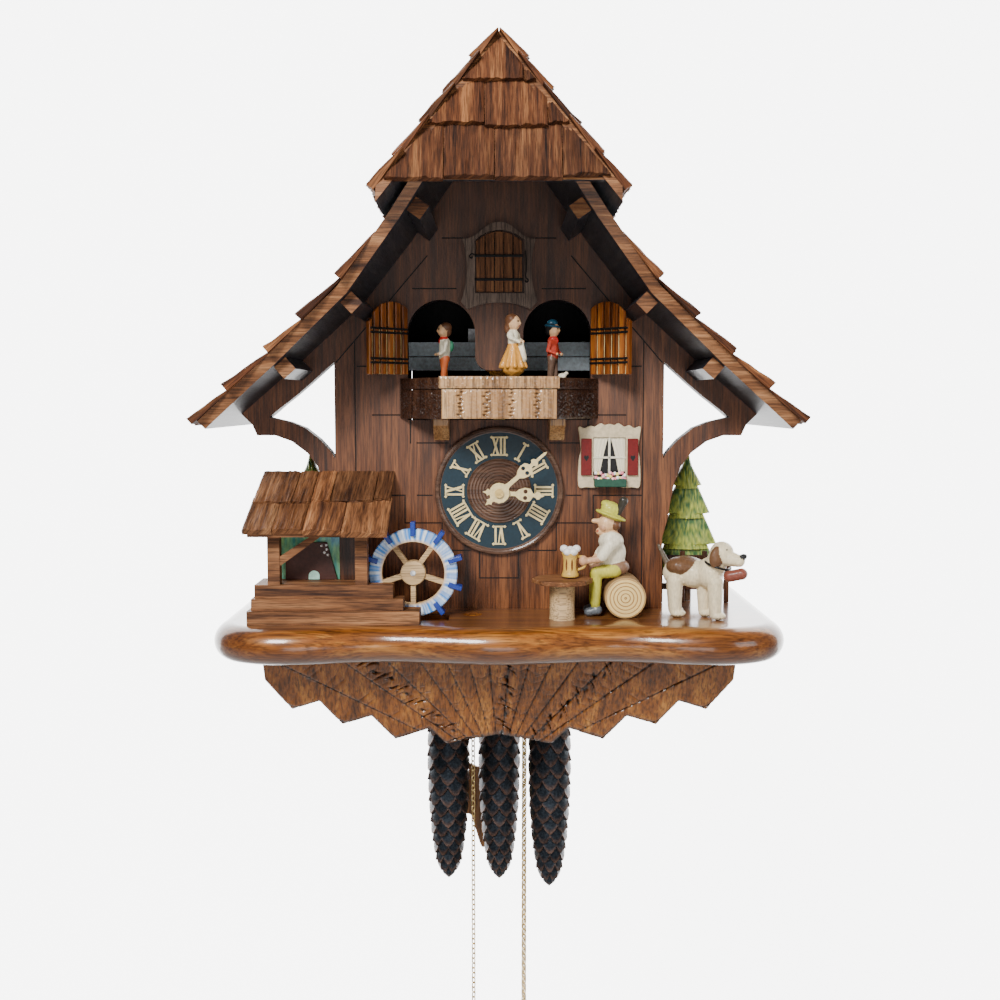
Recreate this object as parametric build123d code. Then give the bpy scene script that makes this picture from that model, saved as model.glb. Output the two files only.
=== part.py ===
"""Cuckoo clock shaped like a mill house: case, figures, movement, weights and chains.

The model is drawn with the deck of the base at z = 0 and the wall at y = 0, the front
facing -Y.  save() lowers everything so that the hanging hole is at the origin.
"""
from build123d import *
import os
from math import atan2, cos, degrees, hypot, pi, radians, sin, sqrt

# ---- Driving dimensions, millimetres -------------------------------------------------
HOLE_Z = 200.0            # hanging hole above the deck
HOLE_R = 5.0
CASE_DEPTH = 120.0        # wall to the face of the front panel
PANEL_T = 10.0
PANEL_Y = -CASE_DEPTH     # face of the front panel
INNER_Y = PANEL_Y + PANEL_T
BODY_HALF = 100.0
WALL_T = 8.0
BACK_T = 8.0
BASE_T = 21.5
BASE_HALF = 166.0
BASE_D = 70.0             # front of the base's lobes, in front of the panel
GAP = 0.3                 # between bodies that move past each other
RUN_FIT = 0.05            # radial clearance of a shaft in its bearing

# Underside of the main roof from the ridge to the eave, (x, z)
ROOF_UNDER = [(0.0, 297.0), (43.0, 236.5), (52.2, 223.5), (82.0, 185.5), (121.9, 149.3),
              (156.6, 119.5), (165.5, 111.8)]
ROOF_T = 6.0
EAVE_OVERHANG = 56.0      # front edge in front of the panel at EAVE_Z
EAVE_Z = 122.0
FRONT_LEAN = 0.31         # how much further forward the front edge is per mm of height
CAP_SLOPE = 1.38
CAP_TOP_Z = 328.0         # outer ridge of the cap roof, shingles included
CAP_EAVE_X = 61.5
CAP_T = 5.0
SHINGLE_T = 5.0
HIP_TOP_D = 81.0          # ridge end of the hip, in front of the panel
HIP_LEAN = 0.383
HIP_BACK = 1.4            # hip board's face behind the hip plane

# Dial and hands
DIAL_Z = 73.0
DIAL_R = 39.2
MINUTE_ANGLE = 49.0       # 3:08, degrees clockwise from twelve
HOUR_ANGLE = 94.0
HAND_HUB_Y = PANEL_Y - 20.0

# Turntable with the dancers
TURN_Y = -112.0
TURN_R = 43.0
TURN_Z = 124.0
FIGURE_R = 34.0

# Mill wheel
WHEEL_X = -50.5
WHEEL_Z = 27.0
WHEEL_Y = PANEL_Y - 30.0

# Chains, sprockets and weights: (sprocket x, chain plane y, side of the weight)
SPROCKET_R = 8.4
SPROCKET_Z = 48.0
CHAIN_D = 3.5
CHAIN_LINES = [(-26.2, -54.0, -1), (8.4, -46.0, -1), (25.6, -62.0, 1)]
WEIGHT_TOP = -70.0        # eye of the weight hook
WEIGHT_TRAVEL = 50.0
WEIGHT_R = 14.2
WEIGHT_BOTTOMS = [-199.5, -203.5, -202.0]
FREE_END_Z = -309.0       # where the free chains reach their hanks
HANK_LENGTH = 60.0
HANK_WIDTH = 24.5
HANK_DEPTH = 35.0

# Pendulum
PENDULUM_Z = 112.0
PENDULUM_Y = -24.0
LEAF_Z = -150.0


# ---- Helpers -------------------------------------------------------------------------
def block(x0, x1, y0, y1, z0, z1):
    """A box between two corners."""
    size = (abs(x1 - x0), abs(y1 - y0), abs(z1 - z0))
    return Pos((x0 + x1) / 2, (y0 + y1) / 2, (z0 + z1) / 2) * Box(*size)


def rod_y(x, z, radius, y0, y1):
    """A cylinder along Y."""
    return Pos(x, (y0 + y1) / 2, z) * Rot(90, 0, 0) * Cylinder(radius, abs(y1 - y0))


def rod_z(x, y, radius, z0, z1):
    """A cylinder along Z."""
    return Pos(x, y, (z0 + z1) / 2) * Cylinder(radius, abs(z1 - z0))


def rod_x(y, z, radius, x0, x1):
    """A cylinder along X."""
    return Pos((x0 + x1) / 2, y, z) * Rot(0, 90, 0) * Cylinder(radius, abs(x1 - x0))


def face_xz(points):
    """A flat face in the XZ plane through (x, z) corners."""
    return make_face(Polyline(*[(x, 0, z) for x, z in points], close=True))


def plate_y(points, y0, y1):
    """A plate with an (x, z) outline, from y0 to y1."""
    front, back = min(y0, y1), max(y0, y1)
    return Pos(0, front, 0) * extrude(face_xz(points), amount=back - front, dir=(0, 1, 0))


def mirrored(shape):
    """The same shape on the other side of the clock."""
    return mirror(shape, about=Plane.YZ)


def roof_under(x):
    """Height of the main roof's underside at x."""
    x = abs(x)
    for (x0, z0), (x1, z1) in zip(ROOF_UNDER, ROOF_UNDER[1:]):
        if x <= x1:
            return z0 + (z1 - z0) * (x - x0) / (x1 - x0)
    return ROOF_UNDER[-1][1]


def offset_line(points, distance):
    """A line parallel to points, above it by distance; its first point stays at x = 0."""
    normals = []
    for (x0, z0), (x1, z1) in zip(points, points[1:]):
        run = hypot(x1 - x0, z1 - z0)
        normals.append(((z0 - z1) / run, (x1 - x0) / run))
    line = []
    for index, (x, z) in enumerate(points):
        before = normals[max(index - 1, 0)]
        after = normals[min(index, len(normals) - 1)]
        scale = distance / (1 + before[0] * after[0] + before[1] * after[1])
        line.append((x + (before[0] + after[0]) * scale, z + (before[1] + after[1]) * scale))
    slope = normals[0][0] / normals[0][1]
    line[0] = (0.0, points[0][1] + distance * sqrt(1 + slope * slope))
    return line


def roof_front_y(z):
    """Front edge of the main roof at height z."""
    return PANEL_Y - EAVE_OVERHANG - FRONT_LEAN * (z - EAVE_Z)


def hip_y(z):
    """Outer face of the hip at height z."""
    return PANEL_Y - HIP_TOP_D - HIP_LEAN * (CAP_TOP_Z - z)


def cut_front(shape, low_y, high_y, low_z=0.0, high_z=400.0):
    """Remove what is in front of the plane through y = low_y at low_z and high_y at high_z."""
    far = -400.0
    outline = make_face(Polyline((0, far, low_z), (0, low_y, low_z), (0, high_y, high_z),
                                 (0, far, high_z), close=True))
    return shape - Pos(-300, 0, 0) * extrude(outline, amount=600, dir=(1, 0, 0))


def gear_points(teeth, module, centre, phase):
    """Outline of a spur gear with straight-sided, well relieved teeth."""
    pitch_r = teeth * module / 2
    tip_r = pitch_r + 0.75 * module
    root_r = pitch_r - 1.05 * module
    step = 2 * pi / teeth
    points = []
    for tooth in range(teeth):
        middle = radians(phase) + tooth * step
        for radius, part in ((root_r, -0.30), (tip_r, -0.12), (tip_r, 0.12), (root_r, 0.30)):
            angle = middle + part * step
            points.append((centre[0] + radius * sin(angle), centre[1] + radius * cos(angle)))
    return points


def group(solids):
    """Several solids in one node."""
    return Compound(children=list(solids))


def save(name, shape):
    """Write one node in the row's frame."""
    placed = Pos(0, 0, -HOLE_Z) * shape
    export_step(placed, f"parts/{name}.step")


# ---- Case ----------------------------------------------------------------------------
ARCH_X = 35.0
ARCH_R = 20.5
ARCH_SPRING = 167.8
SLOT_BOTTOM = 116.0
TONGUE_BOTTOM = 146.0
TONGUE_ROUND = 8.5
DOORWAY = (-12.5, 12.5, 194.5, 222.0)
WHEEL_AXLE_R = 2.0
HAND_BUSH_R = 4.2
GROOVE = 0.8


def knee_points():
    """Outer edge of the knee brace and post, from the deck to the brace's tip."""
    return [(BODY_HALF, 0), (BODY_HALF, 44), (103.2, 56), (104.8, 66.6), (107, 77.8),
            (111, 88), (117, 96), (126.3, 103), (136.4, 106.6), (147.4, 106.6), (150.3, 113.2)]


def knee_window():
    """Gap between post, rafter and knee brace."""
    return [(100.0, 92.5), (102.7, 97), (109.1, 104.1), (118.1, 111.2), (127.1, 114.7),
            (140.0, 117.7), (123.5, 130.4), (114.0, 138.5), (100.0, 151.0)]


def groove_lines():
    """Engraved joints of the planks on the right half, as (x0, z0, x1, z1)."""
    rows = [(22, 225, 34, 225), (26, 195, 52, 195), (79, 148.5, 86, 148.5),
            (60, 119, 77, 119), (31, 102, 50, 102), (54, 102, 54, 117), (41, 70, 50, 70),
            (58, 70, 87, 70), (57.6, 53, 57.6, 70), (36, 53, 57.6, 53), (35, 36, 35, 53),
            (18, 36, 35, 36), (12, 19, 12, 36), (-12, 19, 12, 19), (87.5, 0, 87.5, 164)]
    return rows


RAFTER_JOINT = [(43.3, 214.5), (69.5, 184.0), (82.6, 169.5), (98.8, 150.8)]


def make_grooves():
    """Shallow channels along the plank joints, both halves."""
    cuts = []
    for x0, z0, x1, z1 in groove_lines():
        low_x, high_x = min(x0, x1), max(x0, x1)
        cut = block(low_x - GROOVE / 2, high_x + GROOVE / 2, PANEL_Y - 1, PANEL_Y + GROOVE,
                    min(z0, z1) - GROOVE / 2, max(z0, z1) + GROOVE / 2)
        cuts.append(cut)
        cuts.append(mirrored(cut))
    for (x0, z0), (x1, z1) in zip(RAFTER_JOINT, RAFTER_JOINT[1:]):
        length = hypot(x1 - x0, z1 - z0)
        turn = degrees(atan2(x1 - x0, z1 - z0))
        bar = Box(GROOVE, 2 * GROOVE, length + 0.4)
        cut = Pos((x0 + x1) / 2, PANEL_Y, (z0 + z1) / 2) * Rot(0, turn, 0) * bar
        cuts.append(cut)
        cuts.append(mirrored(cut))
    return cuts


def make_front_panel():
    """One sheet with posts, rafters and knee braces, the openings and the engraved joints."""
    right = knee_points() + [(x, z) for x, z in reversed(ROOF_UNDER[:-1])]
    left = [(-x, z) for x, z in reversed(right) if x > 0]
    panel = plate_y(right + left, PANEL_Y, INNER_Y)
    front, back = PANEL_Y - 2, INNER_Y + 2
    for side in (-1, 1):
        window = [(side * x, z) for x, z in knee_window()]
        panel -= plate_y(window, front, back)
        panel -= rod_y(side * ARCH_X, ARCH_SPRING, ARCH_R, front, back)
        panel -= block(side * (ARCH_X - ARCH_R), side * (ARCH_X + ARCH_R), front, back,
                       SLOT_BOTTOM, ARCH_SPRING)
    panel -= block(-ARCH_X, ARCH_X, front, back, SLOT_BOTTOM, TONGUE_BOTTOM)
    for side in (-1, 1):
        corner = block(side * (ARCH_X - ARCH_R), side * 6, front, back, TONGUE_BOTTOM - 1,
                       TONGUE_BOTTOM + TONGUE_ROUND)
        panel -= corner - rod_y(side * (ARCH_X - ARCH_R - TONGUE_ROUND),
                                TONGUE_BOTTOM + TONGUE_ROUND, TONGUE_ROUND, front, back)
    panel -= block(DOORWAY[0], DOORWAY[1], front, back, DOORWAY[2], DOORWAY[3])
    panel -= rod_y(0, DIAL_Z, HAND_BUSH_R, front, back)
    panel -= rod_y(WHEEL_X, WHEEL_Z, WHEEL_AXLE_R + RUN_FIT, front, back)
    for cut in make_grooves():
        panel -= cut
    return panel


CROSS_Y = -62.0


def make_side_walls():
    """Two side boards from the deck up to the roof, and the cross board between them."""
    outer = BODY_HALF - 3
    inner = outer - WALL_T
    outline = [(inner, 0), (outer, 0), (outer, roof_under(outer)), (inner, roof_under(inner))]
    wall = plate_y(outline, INNER_Y, 0)
    cross = block(-inner, inner, CROSS_Y, CROSS_Y + 4, 147, 166)
    return group([wall, mirrored(wall), cross])


BACK_HALF = BODY_HALF - 3 - WALL_T
BACK_DOOR = (-62.0, 62.0, 14.0, 150.0)
DOOR_PIN_X = BACK_DOOR[0] + 4.0
DOOR_PIN_Y = -4.0
DOOR_PIN_R = 1.0
LIP = 4.0                 # how far the door's lip reaches over the board
LIP_T = 2.0


HAMMER_PIVOT = (28.0, -17.0, 158.0)


def make_back_board():
    """Back board with the hanging hole and the service door's opening."""
    corners = [(x, roof_under(x)) for x in (BACK_HALF, 82.0, 52.2, 43.0)]
    outline = [(BACK_HALF, 0)] + corners + [(0, roof_under(0))]
    outline += [(-x, z) for x, z in reversed(corners)] + [(-BACK_HALF, 0)]
    board = plate_y(outline, -BACK_T, 0)
    board -= rod_y(0, HOLE_Z, HOLE_R, -BACK_T - 1, 1)
    x0, x1, z0, z1 = BACK_DOOR
    board -= block(x0, x1, -BACK_T - 1, 1, z0, z1)
    board -= block(DOOR_PIN_X + 6, x1 + LIP, -LIP_T - 0.2, 1, z0 - LIP, z1 + LIP)
    board -= rod_y(HAMMER_PIVOT[0], HAMMER_PIVOT[2], HAMMER_PIN_R + RUN_FIT, -BACK_T - 1, -3)
    return board - rod_z(DOOR_PIN_X, DOOR_PIN_Y, DOOR_PIN_R + RUN_FIT, z0 - 5, z1 + 5)


def make_back_door():
    """Service door with a lip over the board's recess; two pins turn in the back board."""
    x0, x1, z0, z1 = BACK_DOOR
    low, high = z0 + 0.5, z1 - 0.5
    door = block(DOOR_PIN_X, x1 - 0.5, DOOR_PIN_Y - 3.5, DOOR_PIN_Y + 3.5, low, high)
    door += rod_z(DOOR_PIN_X, DOOR_PIN_Y, 3.5, low, high)
    door += block(DOOR_PIN_X + 7, x1 + LIP - 0.5, -LIP_T, -0.3, z0 - LIP + 0.5, z1 + LIP - 0.5)
    return door + rod_z(DOOR_PIN_X, DOOR_PIN_Y, DOOR_PIN_R, z0 - 4, z1 + 4)


def make_base_slab():
    """Deck with three soft lobes at the front and a full bullnose."""
    half = BASE_HALF
    shoulder = -150
    lobe = PANEL_Y - BASE_D
    dip = lobe + 8
    radius = BASE_T / 2 - 0.05
    edge = Spline((half, shoulder, 0), (half - 12, lobe + 9, 0), (124, lobe, 0), (68, dip, 0), (0, lobe, 0),
                  (-68, dip, 0), (-124, lobe, 0), (12 - half, lobe + 9, 0), (-half, shoulder, 0))
    corner = [(-half, shoulder, 0), (-half, 0, 0), (half, 0, 0), (half, shoulder, 0)]
    outline = make_face(Wire([edge] + list(Polyline(*corner).edges())))
    core = extrude(outline, amount=-BASE_T)
    rim = core.edges().filter_by(lambda e: e.center().Y < -1 and abs(e.center().Z + BASE_T / 2)
                                 > BASE_T / 2 - 0.1)
    slab = fillet(rim, radius)
    slot = block(WHEEL_X - 21, WHEEL_X + 21, WHEEL_Y - 8.5, WHEEL_Y + 8.5, -6, 1)
    slab -= slot
    slab -= rod_z(-16, -139, 6.0, -8, 1)
    for centre, y, _ in CHAIN_LINES:
        for side in (-1, 1):
            slab -= rod_z(centre + side * SPROCKET_R, y, 3.2, -BASE_T - 1, 1)
    slab -= block(-17, 17, PENDULUM_Y - 4, PENDULUM_Y + 4, -BASE_T - 1, 1)
    return slab


def make_apron():
    """Fan-shaped carved board below the deck, leaning back towards its foot."""
    half = [(0, -75.8), (32.3, -82.4), (42.1, -71.7), (63.6, -79.2), (77.5, -63.4),
            (95.5, -69.1), (108.6, -53.4), (125.5, -59), (140.8, -39.2), (137, -24)]
    outline = half + [(-x, z) for x, z in reversed(half) if x > 0]
    board = plate_y(outline, -12, 0)
    tilted = Pos(0, PANEL_Y - 17, -24) * Rot(-16, 0, 0) * Pos(0, 0, 24) * board
    return tilted - block(-200, 200, -200, 0, -BASE_T, 20)


# ---- Roofs ---------------------------------------------------------------------------
def make_roof_board():
    """Right main roof board, bent towards the eave, with a leaning front edge."""
    top = offset_line(ROOF_UNDER, ROOF_T)
    board = plate_y(ROOF_UNDER + list(reversed(top)), -300, 0)
    behind_hip = HIP_BACK + CAP_T + 0.1
    board = cut_front(board, hip_y(0) + behind_hip, hip_y(400) + behind_hip)
    return cut_front(board, roof_front_y(0), roof_front_y(400))


def cap_line(depth):
    """Line of the cap roof below its outer surface by depth, from ridge to eave."""
    drop = depth * sqrt(1 + CAP_SLOPE ** 2)
    return [(0.0, CAP_TOP_Z - drop), (CAP_EAVE_X, CAP_TOP_Z - drop - CAP_SLOPE * CAP_EAVE_X)]


def make_cap_board():
    """Right board of the cap roof, ending in the plane of the hip."""
    low = cap_line(SHINGLE_T + CAP_T)
    high = cap_line(SHINGLE_T)
    board = plate_y([low[0], low[1], high[1], high[0]], -300, 0)
    return cut_front(board, hip_y(0), hip_y(400))


HIP_FOOT = 238.0          # lower edge of the hip board


def make_hip_board():
    """Triangular board that closes the front of the cap roof."""
    low = cap_line(SHINGLE_T + CAP_T + 0.05)
    outline = [low[1], (-low[1][0], low[1][1]), low[0]]
    face = plate_y(outline, -300, -150) - block(-100, 100, -300, -150, 0, HIP_FOOT)
    board = cut_front(face, hip_y(0) + HIP_BACK, hip_y(400) + HIP_BACK)
    inner = cut_front(face, hip_y(0) + HIP_BACK + CAP_T, hip_y(400) + HIP_BACK + CAP_T)
    return board - inner


def shingle(x0, z0, x1, z1, y0, y1, thin, thick):
    """One shake between two points on a slope, thicker at its lower end."""
    run = hypot(x1 - x0, z1 - z0)
    nx, nz = (z0 - z1) / run, (x1 - x0) / run
    outline = [(x0, z0), (x1, z1), (x1 + nx * thick, z1 + nz * thick), (x0 + nx * thin, z0 + nz * thin)]
    return plate_y(outline, y0, y1)


def wobble(index, spread):
    """Small repeatable unevenness."""
    return spread * sin(2.7 * index + 1.3 * index * index)


MAIN_ROWS = [68.0, 84.0, 106.0, 127.0, 149.5, 170.5]
SHAKES_DEEP = 8


def make_main_shingles():
    """Five rows of shakes on the right roof board."""
    shakes = []
    for row, (x0, x1) in enumerate(zip(MAIN_ROWS, MAIN_ROWS[1:])):
        z0, z1 = roof_top(x0), roof_top(x1)
        front = roof_front_y((z0 + z1) / 2) - 3
        width = -front / SHAKES_DEEP
        for column in range(SHAKES_DEEP):
            y1 = -column * width - 0.2
            y0 = y1 - width + 0.4
            reach = wobble(row * SHAKES_DEEP + column, 0.06)
            end_x, end_z = x1 + reach * (x1 - x0), z1 + reach * (z1 - z0)
            start = 0.0 if row == 0 else 0.07
            shakes.append(shingle(x0 + start * (x1 - x0), z0 + start * (z1 - z0), end_x, end_z,
                                  y0, y1, 1.6, SHINGLE_T))
    return shakes


ROOF_TOP = offset_line(ROOF_UNDER, ROOF_T + 0.02)


def roof_top(x):
    """Height of the main roof board's upper face at x, carried on past the eave."""
    for (x0, z0), (x1, z1) in zip(ROOF_TOP, ROOF_TOP[1:]):
        if x <= x1:
            return z0 + (z1 - z0) * (x - x0) / (x1 - x0)
    (x0, z0), (x1, z1) = ROOF_TOP[-2:]
    return z0 + (z1 - z0) * (x - x0) / (x1 - x0)


CAP_ROWS = 5


def make_cap_shingles():
    """Rows of shakes on the right slope of the cap, flush with the hip."""
    (_, z_top), (_, _) = cap_line(SHINGLE_T - 0.02)
    shakes = []
    step = (CAP_EAVE_X + 3.0) / CAP_ROWS
    for row in range(CAP_ROWS):
        x0 = row * step + (0.9 if row else 0.0)
        x1 = (row + 1) * step
        z0, z1 = z_top - CAP_SLOPE * x0, z_top - CAP_SLOPE * x1
        front = hip_y((z0 + z1) / 2) + 2
        width = -front / SHAKES_DEEP
        thin = 1.6 if row else SHINGLE_T - 0.4
        for column in range(SHAKES_DEEP):
            y1 = -column * width - 0.2
            shakes.append(shingle(x0, z0, x1, z1, y1 - width + 0.4, y1, thin, SHINGLE_T))
    return shakes


HIP_ROWS = [CAP_TOP_Z, 290.0, 264.0, HIP_FOOT + 1.0]
HIP_WIDTH = 25.0


def make_hip_shingles():
    """Three rows of shakes on the hip board, cut to the triangle."""
    inner = cap_line(SHINGLE_T + CAP_T + 0.4)
    keep = plate_y([inner[1], (-inner[1][0], inner[1][1]), inner[0]], -300, -150)
    tilt = degrees(atan2(HIP_LEAN, 1.0))
    shakes = []
    for row, (z_high, z_low) in enumerate(zip(HIP_ROWS, HIP_ROWS[1:])):
        length = (z_high - z_low) / cos(radians(tilt)) - 0.8
        shift = HIP_WIDTH * (0.5 if row % 2 else 0.18)
        for column in range(-3, 4):
            middle = (column + 0.5) * HIP_WIDTH - shift
            blank = Rot(-tilt, 0, 0) * shake_blank(HIP_WIDTH - 0.4, length)
            tile = Pos(middle, hip_y(z_low) + HIP_BACK, z_low) * blank
            shakes.extend((tile & keep).solids())
    return shakes


def shake_blank(width, length):
    """A wedge standing on its thick end, its back in the XZ plane."""
    outline = make_face(Polyline((0, 0, 0), (0, -4.5, 0), (0, -1.4, length), (0, 0, length), close=True))
    return Pos(-width / 2, 0, 0) * extrude(outline, amount=width, dir=(1, 0, 0))


PURLINS = [46.5, 83.5, 122.0]
PURLIN = 8.5


def make_purlins():
    """Square beams below the roof, level with its slope."""
    beams = []
    for x in PURLINS:
        slope = degrees(atan2(roof_under(x + 3) - roof_under(x - 3), 6))
        z = roof_under(x)
        front = roof_front_y(z) + 6
        beam = Pos(x, 0, z) * Rot(0, -slope, 0) * block(-PURLIN / 2, PURLIN / 2, front, PANEL_Y,
                                                        -PURLIN - 0.3, -0.3)
        beams.append(beam)
        beams.append(mirrored(beam))
    ridge = block(-PURLIN / 2, PURLIN / 2, hip_y(282) + 16, PANEL_Y, 278, 286.5)
    return beams + [ridge]


# ---- Front details -------------------------------------------------------------------
BALCONY_TOP = 141.4
BALCONY_FLOOR = 122.0
BALCONY_HALF = 33.0
BALCONY_D = 40.0
WING_X = 60.0
SPINDLE_R = 2.0


def balcony_outline(inset):
    """Plan of the canted balcony, shrunk by inset."""
    half = BALCONY_HALF - inset * 0.6
    front = PANEL_Y - BALCONY_D + inset
    return [(-WING_X + inset, PANEL_Y), (-half, front), (half, front), (WING_X - inset, PANEL_Y)]


def prism_z(points, z0, z1):
    """A prism with an (x, y) outline."""
    face = make_face(Polyline(*[(x, y, z0) for x, y in points], close=True))
    return extrude(face, amount=z1 - z0, dir=(0, 0, 1))


def make_balcony():
    """Floor with the turntable's bearing, and the canted parapet."""
    outer = prism_z(balcony_outline(0), BALCONY_FLOOR - 5, 134.5)
    inner = prism_z(balcony_outline(3.2), BALCONY_FLOOR, 140)
    parapet = outer - inner - block(-WING_X, WING_X, PANEL_Y, INNER_Y, 100, 150)
    tongue = block(-14, 14, PANEL_Y - 1, INNER_Y + 4, BALCONY_FLOOR - 5, BALCONY_FLOOR)
    balcony = parapet + tongue
    return balcony - rod_z(0, TURN_Y, SPINDLE_R + RUN_FIT, 100, 140)


def make_balcony_rails():
    """Top rail across the front of the parapet, and the rails of the two wings."""
    front = PANEL_Y - BALCONY_D
    rail = block(-BALCONY_HALF - 1, BALCONY_HALF + 1, front - 0.8, front + 3.2, 134.5, BALCONY_TOP)
    wings = prism_z(balcony_outline(0), 134.5, BALCONY_TOP - 1) - \
        prism_z(balcony_outline(3.2), 134, BALCONY_TOP)
    wings -= block(-WING_X, WING_X, PANEL_Y, INNER_Y, 100, 150)
    wings -= block(-BALCONY_HALF - 1, BALCONY_HALF + 1, front - 9, front + 9, 130, 145)
    return [rail] + list(wings.solids())


def make_brackets():
    """Two blocks that carry the balcony."""
    outline = [(PANEL_Y, 117), (PANEL_Y, 104), (PANEL_Y - 9, 104), (PANEL_Y - 22, 113),
               (PANEL_Y - 22, 117)]
    face = make_face(Polyline(*[(0, y, z) for y, z in outline], close=True))
    bracket = Pos(-4.6, 0, 0) * extrude(face, amount=9.2, dir=(1, 0, 0))
    return [Pos(side * 34.5, 0, 0) * bracket for side in (-1, 1)]


SHUTTER_ANGLE = 45.0
SHUTTER_X = 56.4


def make_arch_shutter():
    """Right slatted shutter of the dancers' doorway, standing open on its hinge edge."""
    outline = [(0, 143), (29, 143), (29, 172), (26, 180), (20, 184.5), (12, 186.5), (0, 187)]
    leaf = plate_y(outline, -2.5, 0)
    for slat in range(1, 5):
        x = slat * 5.8
        leaf -= block(x - 0.5, x + 0.5, -3, -1.3, 142, 188)
    return Pos(SHUTTER_X, PANEL_Y - 0.4, 0) * Rot(0, 0, -SHUTTER_ANGLE) * leaf


def curved_plate(edges, y0, y1):
    """A plate whose outline is a closed chain of curves in the XZ plane."""
    face = make_face(Wire([curve.edge() for curve in edges]))
    return Pos(0, min(y0, y1), 0) * extrude(face, amount=abs(y1 - y0), dir=(0, 1, 0))


def mirror_edges(edges):
    """Curves with their mirror images across x = 0."""
    return edges + [mirror(edge, about=Plane.YZ).edge() for edge in edges]


def make_door_surround():
    """Carved frame around the cuckoo's door: ogee top, waisted sides, arched foot."""
    half = [Spline((0, 0, 234), (9, 0, 230.6), (15, 0, 226), (22, 0, 224.2)),
            ThreePointArc((22, 0, 224.2), (19.4, 0, 206), (23, 0, 187)),
            Line((23, 0, 187), (19, 0, 182.4)),
            ThreePointArc((19, 0, 182.4), (9.5, 0, 185.6), (0, 0, 186.4))]
    frame = curved_plate(mirror_edges(half), PANEL_Y - 3, PANEL_Y)
    right, left, sill, spring, crown = 15.2, -14.5, 192.0, 223.2, 229.2
    opening = [Line((left, 0, sill), (right, 0, sill)), Line((right, 0, sill), (right, 0, spring)),
               ThreePointArc((right, 0, spring), (0.35, 0, crown), (left, 0, spring)),
               Line((left, 0, spring), (left, 0, sill))]
    return frame - curved_plate(opening, PANEL_Y - 4, PANEL_Y + 1)


DOOR_HINGE = (14.9, PANEL_Y - 3.6)


def make_cuckoo_door():
    """Plank door that the bird pushes open."""
    half, sill, spring, crown = 13.9, 192.8, 222.5, 228.4
    outline = [Line((-half, 0, sill), (half, 0, sill)), Line((half, 0, sill), (half, 0, spring)),
               ThreePointArc((half, 0, spring), (0, 0, crown), (-half, 0, spring)),
               Line((-half, 0, spring), (-half, 0, sill))]
    door = curved_plate(outline, PANEL_Y - 3.2, PANEL_Y - 0.5)
    for x in (-8.4, -2.8, 2.8, 8.4):
        door -= block(x - 0.3, x + 0.3, PANEL_Y - 4, PANEL_Y - 2.6, 190, 230)
    for z in (200.0, 215.0):
        door += block(-13, 14.4, PANEL_Y - 3.7, PANEL_Y - 2.5, z - 1, z + 1)
    return door


def make_bird():
    """Cuckoo: body, head, beak and tail in one piece."""
    post = block(-0.8, 0.8, -94, -92, 198, 203)
    body = Pos(0, -92, 206) * Rot(20, 0, 0) * scale(Sphere(1), by=(4.6, 9.0, 4.8))
    head = Pos(0, -99.5, 211.5) * Sphere(3.6)
    beak = Pos(0, -104, 211.2) * Rot(90, 0, 0) * Cone(1.4, 0.3, 4.0)
    tail = Pos(0, -82, 201.5) * Rot(24, 0, 0) * Box(4.5, 9, 1.6)
    return body + head + beak + tail + post


def make_bird_carriage():
    """Wire and post that carry the bird forwards."""
    return rod_y(0, 197.4, 1.0, -96, -52) + block(-3, 3, -56, -50, 190, 199)


def make_window():
    """Window board with four panes cut in it."""
    half = [(0, 113), (6, 113.4), (12, 111.2), (18.8, 111.6), (18.8, 104), (17, 98), (18.8, 92),
            (18.8, 75.3), (9, 74.6), (0, 75.8)]
    outline = [(x + 67, z) for x, z in half] + [(67 - x, z) for x, z in reversed(half) if x > 0]
    board = plate_y(outline, PANEL_Y - 2.5, PANEL_Y)
    for x0, x1 in ((57.5, 66.2), (67.6, 76.3)):
        for z0, z1 in ((84.0, 92.6), (94.0, 103.5)):
            board -= block(x0, x1, PANEL_Y - 3, PANEL_Y - 1.2, z0, z1)
    return board


def make_window_shutters():
    """Two small shutters beside the window."""
    leaf = block(-3.0, 3.0, PANEL_Y - 4.3, PANEL_Y - 2.5, 82.5, 104.5)
    leaf -= rod_y(0, 93, 1.4, PANEL_Y - 5, PANEL_Y - 3.6)
    return [Pos(x, 0, 0) * leaf for x in (52.8, 81.2)]


def make_flower_box():
    """Trough with a row of blossoms."""
    box = block(58, 77, PANEL_Y - 8, PANEL_Y - 2.5, 76, 80)
    for index in range(6):
        box += Pos(60 + index * 3.0, PANEL_Y - 5.5, 80.6 + wobble(index, 0.5)) * Sphere(2.0)
    return box


def make_dial():
    """Turned dial with a raised rim and centre."""
    dial = rod_y(0, DIAL_Z, DIAL_R, PANEL_Y - 2.5, PANEL_Y)
    rim = rod_y(0, DIAL_Z, DIAL_R, PANEL_Y - 4, PANEL_Y - 2.5)
    rim -= rod_y(0, DIAL_Z, 36.1, PANEL_Y - 5, PANEL_Y - 2)
    centre = rod_y(0, DIAL_Z, 19.4, PANEL_Y - 3.5, PANEL_Y - 2.5)
    return dial + rim + centre - rod_y(0, DIAL_Z, HAND_BUSH_R, PANEL_Y - 6, PANEL_Y + 1)


NUMERALS = ["XII", "I", "II", "III", "IIII", "V", "VI", "VII", "VIII", "IX", "X", "XI"]
STROKE = 1.1
STROKE_WIDTHS = {"I": 2.2, "V": 4.4, "X": 4.4}
NUMERAL_R = 27.2
NUMERAL_HALF = 5.4


def stroke(x0, z0, x1, z1):
    """One bar of a numeral."""
    length = hypot(x1 - x0, z1 - z0)
    angle = degrees(atan2(x1 - x0, z1 - z0))
    bar = Box(STROKE, 0.8, length)
    return Pos((x0 + x1) / 2, 0, (z0 + z1) / 2) * Rot(0, angle, 0) * bar


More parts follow.
